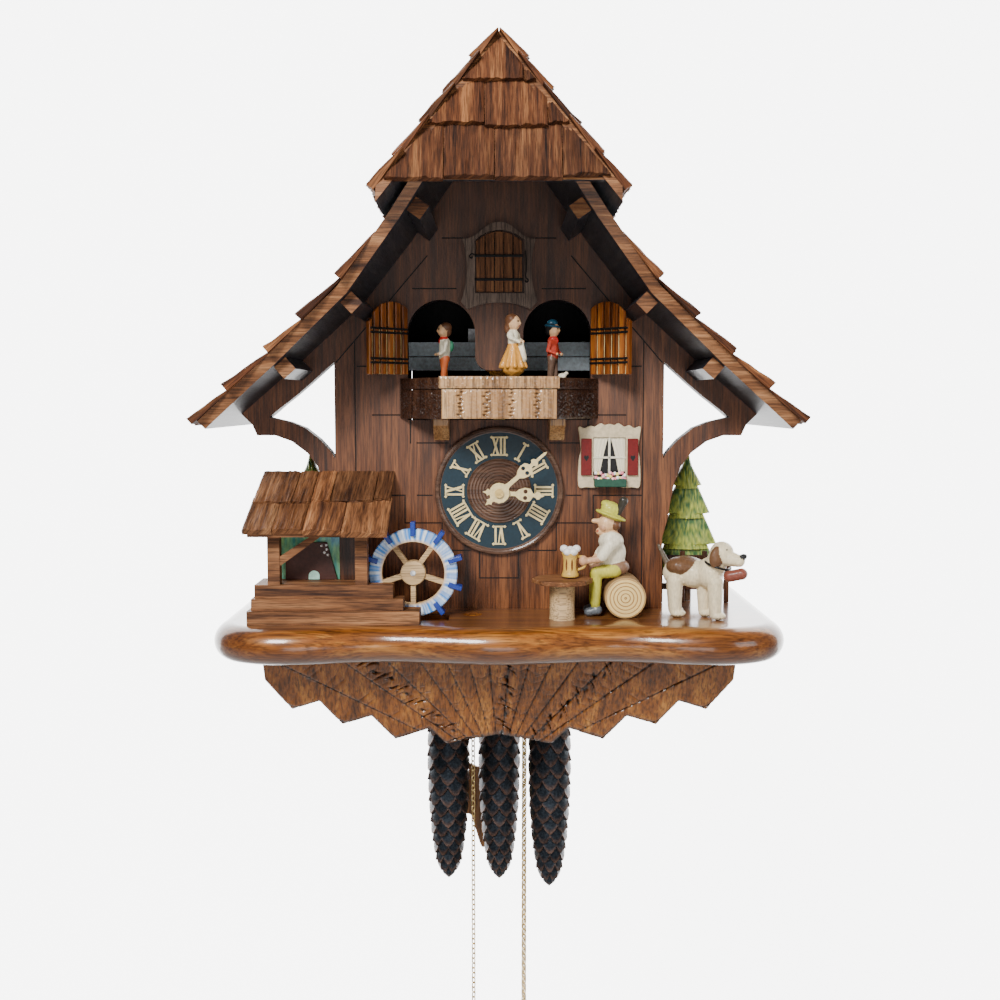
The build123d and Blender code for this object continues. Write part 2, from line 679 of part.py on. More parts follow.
def make_numeral(text):
    """Roman numeral with serif bars, centred on the origin."""
    width = sum(STROKE_WIDTHS[letter] for letter in text)
    x = -width / 2
    shape = Pos(0, 0, NUMERAL_HALF - 0.4) * Box(width, 0.8, 0.8)
    shape += Pos(0, 0, 0.4 - NUMERAL_HALF) * Box(width, 0.8, 0.8)
    for letter in text:
        step = STROKE_WIDTHS[letter]
        middle = x + step / 2
        lean = step / 2 - STROKE / 2
        if letter == "I":
            shape += stroke(middle, -NUMERAL_HALF, middle, NUMERAL_HALF)
        if letter == "V":
            shape += stroke(middle - lean, NUMERAL_HALF, middle, -NUMERAL_HALF)
            shape += stroke(middle + lean, NUMERAL_HALF, middle, -NUMERAL_HALF)
        if letter == "X":
            shape += stroke(middle - lean, NUMERAL_HALF, middle + lean, -NUMERAL_HALF)
            shape += stroke(middle + lean, NUMERAL_HALF, middle - lean, -NUMERAL_HALF)
        x += step
    return shape


def make_numerals():
    """Twelve numerals around the chapter ring, their feet towards the centre."""
    placed = []
    for hour, text in enumerate(NUMERALS):
        numeral = Pos(0, PANEL_Y - 2.9, DIAL_Z) * Rot(0, hour * 30, 0) * Pos(0, 0, NUMERAL_R) * \
            make_numeral(text)
        placed.append(numeral)
    return group(placed)


# ---- Hands and motion work -----------------------------------------------------------
ARBOR_R = 1.5
PIPE_R = 3.0
CANNON_TEETH = 12
MINUTE_WHEEL_TEETH = 36
MINUTE_PINION_TEETH = 10
HOUR_WHEEL_TEETH = 40
MODULE_A = 0.6
WHEEL_SPACING = (CANNON_TEETH + MINUTE_WHEEL_TEETH) * MODULE_A / 2
MODULE_B = 2 * WHEEL_SPACING / (MINUTE_PINION_TEETH + HOUR_WHEEL_TEETH)


def gear(teeth, module, centre, phase, y0, y1):
    """A spur gear between two planes."""
    return plate_y(gear_points(teeth, module, centre, phase), y0, y1)


def make_minute_arbor():
    """Centre arbor with its wheel, the cannon pinion and the nut in front of the hands."""
    arbor = rod_y(0, DIAL_Z, ARBOR_R, HAND_HUB_Y - 3.5, -40)
    arbor += rod_y(0, DIAL_Z, 16.0, -81.2, -80)
    arbor += gear(CANNON_TEETH, MODULE_A, (0, DIAL_Z), 90, -96, -93.5)
    return arbor + rod_y(0, DIAL_Z, 2.6, HAND_HUB_Y - 3.2, HAND_HUB_Y - 1.7)


def hand_blade(length, boss_at, boss_r, width, tail, y0, y1, bore):
    """A pierced hand pointing straight up from the dial's centre."""
    blade = plate_y([(-width, 0), (-width, boss_at), (-width * 0.6, length - 6), (0, length),
                     (width * 0.6, length - 6), (width, boss_at), (width, 0)], y0, y1)
    blade += rod_y(0, 0, 6.0, y0, y1)
    blade += rod_y(0, boss_at, boss_r, y0, y1)
    blade += plate_y([(-1.4, 0), (1.4, 0), (0, -tail)], y0, y1)
    blade -= rod_y(0, boss_at, boss_r * 0.45, y0 - 1, y1 + 1)
    return blade - rod_y(0, 0, bore, y0 - 1, y1 + 1)


def make_minute_hand():
    """Minute hand, fixed on the centre arbor."""
    hand = hand_blade(37.5, 20.0, 4.0, 1.5, 9.0, HAND_HUB_Y - 1.7, HAND_HUB_Y - 0.7, ARBOR_R)
    return Pos(0, 0, DIAL_Z) * Rot(0, MINUTE_ANGLE, 0) * hand


def make_hour_wheel():
    """Hour wheel and the pipe that carries the hour hand."""
    wheel = gear(HOUR_WHEEL_TEETH, MODULE_B, (0, DIAL_Z), 94.5, -99.3, -97.3)
    wheel += rod_y(0, DIAL_Z, PIPE_R, HAND_HUB_Y + 1.4, -97.3)
    return wheel - rod_y(0, DIAL_Z, ARBOR_R + RUN_FIT, -150, -90)


def make_hour_hand():
    """Hour hand, pressed on the hour pipe."""
    hand = hand_blade(27.0, 16.5, 4.2, 1.7, 10.0, HAND_HUB_Y + 0.4, HAND_HUB_Y + 1.4,
                      ARBOR_R + RUN_FIT)
    return Pos(0, 0, DIAL_Z) * Rot(0, HOUR_ANGLE, 0) * hand


def make_minute_wheel():
    """Minute wheel and its pinion, running on a stud."""
    centre = (WHEEL_SPACING, DIAL_Z)
    wheel = gear(MINUTE_WHEEL_TEETH, MODULE_A, centre, 275, -95.8, -93.9)
    wheel += gear(MINUTE_PINION_TEETH, MODULE_B, centre, 270, -99.6, -95.8)
    return wheel - rod_y(WHEEL_SPACING, DIAL_Z, 1.0 + RUN_FIT, -101, -90)


# ---- Movement ------------------------------------------------------------------------
PLATE_FRONT = -92.0
PLATE_BACK = -36.0
PLATE_T = 1.5
PLATE_HALF = 44.0
PLATE_LOW = 24.0
PLATE_HIGH = 112.0
SPROCKET_ARBOR_R = 1.5


def make_movement_plates():
    """Front and back brass plates with holes for the arbors, and the minute wheel's stud."""
    front = block(-PLATE_HALF, PLATE_HALF, PLATE_FRONT, PLATE_FRONT + PLATE_T, PLATE_LOW, PLATE_HIGH)
    back = block(-PLATE_HALF, PLATE_HALF, PLATE_BACK - PLATE_T, PLATE_BACK, PLATE_LOW, PLATE_HIGH)
    for x, _, _ in CHAIN_LINES:
        front -= rod_y(x, SPROCKET_Z, SPROCKET_ARBOR_R + RUN_FIT, -95, -85)
        back -= rod_y(x, SPROCKET_Z, SPROCKET_ARBOR_R + RUN_FIT, -45, -30)
    front -= rod_y(0, DIAL_Z, ARBOR_R + RUN_FIT, -95, -85)
    back -= rod_y(0, DIAL_Z, ARBOR_R + RUN_FIT, -45, -30)
    front += rod_y(WHEEL_SPACING, DIAL_Z, 1.0, -100.5, PLATE_FRONT)
    return [front, back]


def make_movement_pillars():
    """Four pillars between the plates."""
    pillars = []
    for x in (-40, 40):
        for z in (28, 108):
            pillars.append(rod_y(x, z, 2.5, PLATE_FRONT + PLATE_T, PLATE_BACK - PLATE_T))
    return pillars


def make_movement_seats():
    """Two blocks between the side walls and the plates that hold the movement."""
    inner = BODY_HALF - 3 - WALL_T
    seat = block(PLATE_HALF + 0.05, inner, -50, PLATE_BACK - PLATE_T, 96, 106)
    return [seat, mirrored(seat)]


def make_sprocket(x, y):
    """Grooved chain wheel with its great wheel and arbor."""
    groove_r = SPROCKET_R - CHAIN_D / 2 - GAP
    wheel = rod_y(x, SPROCKET_Z, groove_r, y - 3.2, y + 3.2)
    for side in (-1, 1):
        wheel += rod_y(x, SPROCKET_Z, SPROCKET_R + 1.0, y + side * 2.2, y + side * 3.2)
    wheel += rod_y(x, SPROCKET_Z, 14.0, y - 6.2, y - 5.0)
    wheel += rod_y(x, SPROCKET_Z, 4.0, y - 5.0, y - 3.2)
    return wheel + rod_y(x, SPROCKET_Z, SPROCKET_ARBOR_R, PLATE_FRONT - 0.8, PLATE_BACK + 0.8)


def make_chain_wrap(x, y):
    """Chain lying over the top of its sprocket."""
    start = (x + SPROCKET_R, y, SPROCKET_Z)
    top = (x, y, SPROCKET_Z + SPROCKET_R)
    end = (x - SPROCKET_R, y, SPROCKET_Z)
    path = ThreePointArc(start, top, end)
    return sweep(Plane(origin=start, z_dir=(0, 0, 1)) * Circle(CHAIN_D / 2), path=path)


def make_weight_chain(x, y):
    """Chain from the sprocket down to the weight's hook."""
    return rod_z(x, y, CHAIN_D / 2, WEIGHT_TOP, SPROCKET_Z)


def make_free_chain(x, y):
    """Free end of a chain, down to the hank that its spare length is put away in."""
    return rod_z(x, y, CHAIN_D / 2, FREE_END_Z, SPROCKET_Z - WEIGHT_TRAVEL)


def hank_y(line):
    """Middle of a hank, clear of the other hanks."""
    return {0: -54.0, 1: -46.0 + 18.0, 2: -62.0 - 18.0}[line]


def make_hank(line, x):
    """Outer shape of the wound spare chain, a flat oval coil."""
    y = hank_y(line)
    width = HANK_WIDTH / 2
    low, high = FREE_END_Z - HANK_LENGTH, FREE_END_Z
    oval = block(x - width, x + width, y - HANK_DEPTH / 2, y + HANK_DEPTH / 2, low + width, high - width)
    oval += rod_y(x, low + width, width, y - HANK_DEPTH / 2, y + HANK_DEPTH / 2)
    oval += rod_y(x, high - width, width, y - HANK_DEPTH / 2, y + HANK_DEPTH / 2)
    return oval


def make_pull_ring(line, x):
    """Ring on the end of a chain, below its hank."""
    y = hank_y(line)
    ring = Torus(5.5, 0.8)
    return Pos(x, y, FREE_END_Z - HANK_LENGTH - 7.0) * Rot(90, 0, 0) * ring


def make_weight(x, y, bottom):
    """Pine cone of cast iron with a rounded shoulder and a blunt tip."""
    top = -76.0
    profile = [(0, top), (7.5, top), (12.5, top - 6), (WEIGHT_R, top - 22), (WEIGHT_R, top - 48),
               (12.2, top - 78), (9.0, bottom + 12), (4.5, bottom + 2), (0, bottom)]
    face = make_face(Polyline(*[(r, 0, z) for r, z in profile], close=True))
    return Pos(x, y, 0) * revolve(face, axis=Axis.Z)


def make_weight_hook(x, y):
    """Wire eye from the cone up to the last link."""
    return rod_z(x, y, 1.1, -76.0, WEIGHT_TOP)


PENDULUM_LEAN = 2.2


def hang(shape):
    """Swing a straight pendulum piece to its place at rest."""
    pivot = Pos(0, 0, PENDULUM_Z)
    return pivot * Rot(0, PENDULUM_LEAN, 0) * Pos(0, 0, -PENDULUM_Z) * shape


def make_pendulum_rod():
    """Pendulum wire, its crutch arbor and the two pallets."""
    wire = rod_z(0, PENDULUM_Y, 0.9, LEAF_Z, PENDULUM_Z)
    arbor = rod_y(0, PENDULUM_Z, 1.4, PENDULUM_Y - 1.5, PLATE_BACK + 14)
    return hang(wire + arbor + block(-6, 6, PENDULUM_Y - 1, PENDULUM_Y + 1, 104, 106))


def make_pendulum_leaf():
    """Carved leaf on the wire."""
    half = [(0, -124), (8, -132), (19, -138), (22, -150), (20, -166), (12, -178), (0, -190)]
    outline = half + [(-x, z) for x, z in reversed(half) if x > 0]
    leaf = plate_y(outline, PENDULUM_Y - 3.4, PENDULUM_Y - 0.9)
    return hang(leaf)


def make_pendulum_hanger():
    """Bracket on the back plate that the pendulum's arbor turns in."""
    bracket = block(-4, 4, PLATE_BACK, PENDULUM_Y - 4, 108.5, 115.5)
    return bracket - rod_y(0, PENDULUM_Z, 1.4 + RUN_FIT, -40, -20)


# ---- Sound ---------------------------------------------------------------------------
PIPE_X = 78.0


def make_whistle():
    """Right wooden whistle with its windway."""
    pipe = block(PIPE_X - 8, PIPE_X + 8, -84, -64, 20, 92)
    return pipe - block(PIPE_X - 5, PIPE_X + 5, -85, -80, 74, 79)


def make_bellows():
    """Right bellows top, lifting from the whistle's head at its back edge."""
    return block(PIPE_X - 8, PIPE_X + 8, -84, -54, 92.4, 97)


BELLOWS_HINGE = (-54.0, 92.4)
GONG_X = 0.0
GONG_Z = 172.0
GONG_R = 15.5


def make_gong():
    """Steel coil gong and the block that carries it on the back board."""
    coil = Pos(GONG_X, -17, GONG_Z) * Rot(90, 0, 0) * Torus(GONG_R, 1.5)
    near, far = GONG_X - GONG_R - 6, GONG_X - GONG_R + 2
    return coil + block(near, far, -20, -BACK_T, GONG_Z - 5, GONG_Z + 5)


HAMMER_PIN_R = 1.0


def make_gong_hammer():
    """Hammer wire with its head just off the coil."""
    x, y, z = HAMMER_PIVOT
    wire = Pos(x - 7, y, z - 6) * Rot(0, 49.4, 0) * Cylinder(0.8, 18.4)
    head = Pos(x - 18, y, z - 9) * Cylinder(2.6, 5.0)
    link = rod_x(y, z - 9, 0.9, x - 18, x - 10)
    return rod_y(x, z, HAMMER_PIN_R, -4, -20) + wire + head + link


def make_music_box():
    """Musical movement: bedplate with comb and governor housing."""
    bed = block(-84, -52, -108, -88, 118, 122)
    comb = block(-82, -66, -106, -90, 122, 128)
    housing = block(-60, -54, -106, -90, 122, 134)
    shelf = block(-89, -60, -109, -87, 113, 118)
    return bed + comb + housing + shelf


# ---- Turntable and dancers -----------------------------------------------------------
DANCER_ANGLES = [-78.0, 14.0, 72.0, 180.0]     # from straight ahead, towards +X


def make_turntable():
    """Disc with its spindle."""
    disc = rod_z(0, TURN_Y, TURN_R, TURN_Z, TURN_Z + 2.5)
    return disc + rod_z(0, TURN_Y, SPINDLE_R, BALCONY_FLOOR - 5, TURN_Z)


def make_dancer(height):
    """Small turned and carved figure on a round base, its feet at z = 0."""
    figure = rod_z(0, 0, 5.0, 0, 3.0)
    figure += Pos(0, 0, 3 + height * 0.22) * Cone(5.6, 3.4, height * 0.44)
    figure += Pos(0, 0, 3 + height * 0.58) * scale(Sphere(1), by=(4.6, 3.4, height * 0.2))
    return figure + Pos(0, 0, 3 + height * 0.84) * Sphere(height * 0.13)


def make_dancers():
    """Four figures standing on the turntable."""
    figures = []
    for angle in DANCER_ANGLES:
        x = FIGURE_R * sin(radians(angle))
        y = TURN_Y - FIGURE_R * cos(radians(angle))
        figures.append(Pos(x, y, TURN_Z + 2.5) * make_dancer(46.0))
    return group(figures)


# ---- Mill ----------------------------------------------------------------------------
MILL_LEFT = -133.0
MILL_RIGHT = -75.7
MILL_FRONT = PANEL_Y - 50.0
STEP_TOP = 22.3
POST = 7.0
MILL_EAVE = (-145.0, -62.0)
MILL_ROOF_D = 61.0


def make_mill_steps():
    """Three stacked steps, cut away behind for the wheel."""
    steps = block(-144.0, -45.5, PANEL_Y - 54, PANEL_Y - 22, 0, 8)
    steps += block(-142.0, -55.0, PANEL_Y - 51, PANEL_Y - 22, 8, 14.6)
    steps += block(-140.5, -61.0, PANEL_Y - 48, PANEL_Y - 22, 14.6, STEP_TOP)
    return steps - block(-82.5, -40, WHEEL_Y - 8.5, PANEL_Y - 20, -1, 30)


def mill_roof_z(distance):
    """Underside of the mill's roof at a distance in front of the panel."""
    return 82.0 - (82.0 - 49.5) * distance / MILL_ROOF_D


def make_mill_posts():
    """Two front posts with braces, and the wall plates back to the house."""
    posts = []
    for x in (MILL_LEFT, MILL_RIGHT - POST):
        top = mill_roof_z(48) - 0.1
        post = block(x, x + POST, MILL_FRONT + 3, MILL_FRONT + 3 + POST, STEP_TOP, top - 4)
        post += block(x, x + POST, MILL_FRONT + 3, PANEL_Y, top - 6, top - 1)
        posts.append(post)
    brace = plate_y([(MILL_LEFT + POST, 33), (MILL_LEFT + POST, 38.5), (-107, 51), (-101, 51)],
                    MILL_FRONT + 3.5, MILL_FRONT + 7)
    posts[0] += brace
    return posts


def make_mill_backdrop():
    """Painted board behind the posts, the miller's house on it."""
    return block(-131, -84, PANEL_Y - 26, PANEL_Y - 23, STEP_TOP, 62)


def mill_roof_blank(x0, x1, near, far, low, high):
    """Slab parallel to the mill roof between two distances and two heights above it."""
    outline = [(PANEL_Y - near, mill_roof_z(near) + low), (PANEL_Y - far, mill_roof_z(far) + low),
               (PANEL_Y - far, mill_roof_z(far) + high), (PANEL_Y - near, mill_roof_z(near) + high)]
    face = make_face(Polyline(*[(0, y, z) for y, z in outline], close=True))
    return Pos(x0, 0, 0) * extrude(face, amount=x1 - x0, dir=(1, 0, 0))


def make_mill_roof():
    """Lean-to roof board."""
    return mill_roof_blank(-142, -64, 0.1, MILL_ROOF_D - 3, 0, 2.2)


def make_mill_shingles():
    """Two rows of shakes on the mill roof."""
    shakes = []
    for row, (near, far) in enumerate(((0.5, 31.0), (31.4, MILL_ROOF_D))):
        edges = [MILL_EAVE[0] + 3 - row * 2, -124 + row * 6, -104, -84 + row * 4, MILL_EAVE[1] - 1]
        for index, (x0, x1) in enumerate(zip(edges, edges[1:])):
            reach = wobble(index + row * 3, 1.2)
            shakes.append(mill_roof_blank(x0 + 0.2, x1 - 0.2, near, far + (reach if row else 0),
                                          2.3, 5.6 - row * 0.6))
    return shakes


def make_mill_wheel():
    """Spoked wheel with ten paddles and its axle."""
    back, front = WHEEL_Y + 2.5, WHEEL_Y - 2.5
    rim = rod_y(WHEEL_X, WHEEL_Z, 26.0, front, back) - rod_y(WHEEL_X, WHEEL_Z, 18.5, front - 1, back + 1)
    wheel = rim + rod_y(WHEEL_X, WHEEL_Z, 7.4, front - 1.0, back)
    for spoke in range(5):
        bar = Pos(0, 0, 12.5) * Box(2.6, 3.0, 13.5)
        wheel += Pos(WHEEL_X, WHEEL_Y, WHEEL_Z) * Rot(0, 36 + 72 * spoke, 0) * bar
    for paddle in range(10):
        bar = Pos(0, 0, 26.2) * Box(2.6, 9.0, 7.6)
        wheel += Pos(WHEEL_X, WHEEL_Y, WHEEL_Z) * Rot(0, 36 * paddle, 0) * bar
    return wheel + rod_y(WHEEL_X, WHEEL_Z, WHEEL_AXLE_R, front, INNER_Y + 6)


# ---- Beer drinker, dog and trees -----------------------------------------------------
LOG_X = 74.2
LOG_R = 12.2
SIT_Y = PANEL_Y - 22.0
ARM_SHOULDER = (66.0, 46.0)
ARM_Y = SIT_Y - 11.2


def make_log():
    """Log lying front to back, the drinker's seat, with a small wedge under it."""
    return rod_y(LOG_X, LOG_R, LOG_R, PANEL_Y - 34, PANEL_Y - 6)


def make_drinker():
    """Seated man looking to the left: legs, body, head and hat."""
    torso = Pos(66.5, SIT_Y, 37) * scale(Sphere(1), by=(9.5, 8.0, 14.0))
    thigh = Pos(62, SIT_Y, 28) * Rot(0, 80, 0) * Cylinder(4.6, 14)
    shin = Pos(58.0, SIT_Y, 14.5) * Cylinder(3.0, 26)
    shoe = Pos(55.6, SIT_Y, 2.4) * Box(10, 8, 4.6)
    head = Pos(64, SIT_Y, 56.5) * Sphere(7.2)
    brim = Pos(64.5, SIT_Y, 60.5) * Rot(0, -6, 0) * Cylinder(9.6, 1.6)
    crown = Pos(65, SIT_Y, 65) * Cone(6.4, 4.6, 9.0)
    pin = rod_y(ARM_SHOULDER[0], ARM_SHOULDER[1], 1.0, ARM_Y - 2.6, SIT_Y)
    man = torso + thigh + shin + shoe + head + brim + crown + pin
    return man - rod_y(LOG_X, LOG_R, LOG_R + 0.05, PANEL_Y - 60, PANEL_Y)


def make_drinker_arm():
    """Arm with its sleeve, from the shoulder to the mug."""
    upper = Pos(61.5, ARM_Y, 40.5) * Rot(0, 40, 0) * Cylinder(2.7, 16)
    fore = Pos(52.0, ARM_Y, 34.5) * Rot(0, 92, 0) * Cylinder(2.2, 14)
    pivot = rod_y(ARM_SHOULDER[0], ARM_SHOULDER[1], 2.9, ARM_Y - 2.2, ARM_Y + 2.4)
    bore = rod_y(ARM_SHOULDER[0], ARM_SHOULDER[1], 1.0 + RUN_FIT, ARM_Y - 5, ARM_Y + 5)
    return upper + fore + pivot - bore


def make_mug():
    """Beer mug with its handle and foam."""
    mug = Pos(41.6, ARM_Y, 33.2) * Cylinder(4.6, 16.4)
    foam = Pos(41.6, ARM_Y, 42.6) * Sphere(4.6)
    return mug + foam - block(30, 60, ARM_Y - 10, ARM_Y + 10, 46.5, 60)


TABLE_X = 37.0
TABLE_Y = PANEL_Y - 33.0


def make_table():
    """Eight-sided table on one leg."""
    top = Pos(TABLE_X, TABLE_Y, 21.4) * extrude(RegularPolygon(18.0, 8), amount=2.6)
    return top + rod_z(TABLE_X, TABLE_Y, 7.6, 0, 21.4)


def make_dog():
    """Standing dog, its head turned to the front, with a small barrel at the collar."""
    body = Pos(114, PANEL_Y - 24, 24) * Rot(0, 0, 20) * scale(Sphere(1), by=(17.0, 9.0, 9.0))
    chest = Pos(125, PANEL_Y - 31, 24) * scale(Sphere(1), by=(9.0, 9.0, 10.5))
    head = Pos(130, PANEL_Y - 36, 36) * scale(Sphere(1), by=(8.4, 8.0, 7.4))
    muzzle = Pos(137, PANEL_Y - 41, 33) * scale(Sphere(1), by=(6.0, 5.5, 4.4))
    dog = body + chest + head + muzzle
    for x, d in ((104, 16), (104, 27), (122, 26), (126, 38)):
        dog += rod_z(x, PANEL_Y - d, 3.6, 0.05, 22)
        dog += Pos(x + 2, PANEL_Y - d, 1.8) * Box(9, 7, 3.5)
    dog += Pos(98.5, PANEL_Y - 19, 29) * Rot(0, 50, 0) * Cylinder(2.0, 12)
    barrel = Pos(137, PANEL_Y - 41, 24.2) * Rot(0, 90, 30) * Cylinder(4.0, 10)
    return dog + barrel


def make_tree():
    """Right fir, cut from a thick board, beside the house."""
    half = [(0, 96), (9, 74), (6, 74), (15, 56), (10, 56), (19, 36), (13, 36), (21, 18), (3.5, 18),
            (3.5, 0)]
    outline = [(x + 120, z) for x, z in half] + [(120 - x, z) for x, z in reversed(half) if x > 0]
    return plate_y(outline, -92, -84)


def make_fence():
    """Two rails on posts between the house and the tree."""
    rails = []
    for x in (102, 112, 140):
        rails.append(block(x - 1.5, x + 1.5, -100, -97, 0, 24))
    fence = block(99.5, 146, -97, -95, 8, 12) + block(99.5, 146, -97, -95, 17, 21)
    for post in rails:
        fence += post
    return fence


def mirrored_pair(shape):
    """A shape and its mirror image as one node."""
    return group([shape, mirrored(shape)])


def both_sides(solids):
    """A list of solids with their mirror images."""
    return list(solids) + [mirrored(solid) for solid in solids]


def make_roof_frame():
    """Two roof boards, the cap's three boards and the purlins."""
    boards = both_sides([make_roof_board(), make_cap_board()])
    return group(boards + [make_hip_board()] + make_purlins())


def make_shingles():
    """Every shake of the main roof, the cap, the hip and the mill."""
    slopes = both_sides(make_main_shingles() + make_cap_shingles())
    return group(slopes + make_hip_shingles() + make_mill_shingles())


def make_case():
    """Nodes of the wooden house."""
    save("front_panel", make_front_panel())
    save("side_walls", make_side_walls())
    save("back_board", make_back_board())
    save("back_door", make_back_door())
    save("base_slab", make_base_slab())
    save("apron", make_apron())
    save("roof_frame", make_roof_frame())
    save("shingles", make_shingles())


def make_front():
    """Nodes fixed on the front panel and the deck."""
    save("arch_shutters", mirrored_pair(make_arch_shutter()))
    save("balcony", group([make_balcony()] + make_balcony_rails() + make_brackets()))
    save("door_surround", make_door_surround())
    save("window", group([make_window(), make_flower_box()] + make_window_shutters()))
    save("dial", make_dial())
    save("numerals", make_numerals())
    save("mill_steps", make_mill_steps())
    save("mill_frame", group(make_mill_posts() + [make_mill_backdrop(), make_mill_roof()]))
    save("log_seat", make_log())
    save("drinker", make_drinker())
    save("table", make_table())
    save("dog", make_dog())
    save("trees_and_fences", group(both_sides([make_tree(), make_fence()])))


def make_mechanism():
    """Nodes of the movement, the hands and what they drive."""
    frame = make_movement_plates() + make_movement_pillars() + make_movement_seats()
    save("movement_frame", group(frame + [make_pendulum_hanger()]))
    save("minute_arbor", make_minute_arbor())
    save("minute_hand", make_minute_hand())
    save("hour_wheel", make_hour_wheel())
    save("hour_hand", make_hour_hand())
    save("minute_wheel", make_minute_wheel())
    save("pendulum_rod", make_pendulum_rod())
    save("pendulum_leaf", make_pendulum_leaf())
    save("whistles", mirrored_pair(make_whistle()))
    save("bellows_right", make_bellows())
    save("bellows_left", mirrored(make_bellows()))
    save("gong", make_gong())
    save("gong_hammer", make_gong_hammer())
    save("music_box", make_music_box())
    save("turntable", make_turntable())
    save("dancers", make_dancers())
    save("cuckoo_door", make_cuckoo_door())
    save("bird", make_bird() + make_bird_carriage())
    save("mill_wheel", make_mill_wheel())
    save("drinker_arm", group([make_drinker_arm(), make_mug()]))


def make_drives():
    """Three sprockets with their chains, weights, hanks and pull rings."""
    wraps = [make_chain_wrap(centre, y) for centre, y, _ in CHAIN_LINES]
    save("chain_wraps", group(wraps))
    for line, (centre, y, side) in enumerate(CHAIN_LINES):
        number = line + 1
        weight_x = centre + side * SPROCKET_R
        free_x = centre - side * SPROCKET_R
        weight = make_weight(weight_x, y, WEIGHT_BOTTOMS[line])
        save(f"sprocket_{number}", make_sprocket(centre, y))
        save(f"weight_chain_{number}", make_weight_chain(weight_x, y))
        save(f"weight_{number}", weight + make_weight_hook(weight_x, y))
        save(f"free_chain_{number}", make_free_chain(free_x, y))
        save(f"chain_hank_{number}", make_hank(line, free_x))
        save(f"pull_ring_{number}", make_pull_ring(line, free_x))


def main():
    os.makedirs("parts", exist_ok=True)
    make_case()
    make_front()
    make_mechanism()
    make_drives()


if __name__ == "__main__":
    main()
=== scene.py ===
"""Cuckoo clock shaped like a mill house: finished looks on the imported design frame.

Lengths in the pieces' own functions are millimetres in the house frame: x to the right,
y into the wall (the wall is y = 0), z up from the deck of the base.
"""
import bpy
import bmesh
import numpy as np
from math import atan2, cos, exp, floor, hypot, pi, radians, sin, sqrt
from mathutils import Euler, Matrix, Vector, noise


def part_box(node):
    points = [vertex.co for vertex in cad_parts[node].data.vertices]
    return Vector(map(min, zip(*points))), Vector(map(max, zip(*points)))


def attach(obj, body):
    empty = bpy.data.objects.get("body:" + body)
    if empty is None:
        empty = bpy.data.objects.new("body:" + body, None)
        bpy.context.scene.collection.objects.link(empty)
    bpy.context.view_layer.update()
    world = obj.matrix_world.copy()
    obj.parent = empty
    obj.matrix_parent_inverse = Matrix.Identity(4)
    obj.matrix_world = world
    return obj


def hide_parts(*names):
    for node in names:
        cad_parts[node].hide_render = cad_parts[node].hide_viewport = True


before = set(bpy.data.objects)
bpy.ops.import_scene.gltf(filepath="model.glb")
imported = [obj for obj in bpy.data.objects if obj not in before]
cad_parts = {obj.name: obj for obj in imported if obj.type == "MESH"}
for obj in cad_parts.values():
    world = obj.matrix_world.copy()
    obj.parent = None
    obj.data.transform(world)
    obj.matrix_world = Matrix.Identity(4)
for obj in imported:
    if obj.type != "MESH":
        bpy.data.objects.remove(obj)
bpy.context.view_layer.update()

MM = 0.001
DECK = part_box("base_slab")[1][2]
PANEL_Y = -120.0
DIAL_Z = 73.0
LOG_X = 74.2
LOG_Z = 12.2
TABLE_X = 37.0
TABLE_Y = PANEL_Y - 33.0


def place(x, y, z):
    """House millimetres to metres in the frame."""
    return Vector((x * MM, y * MM, z * MM + DECK))


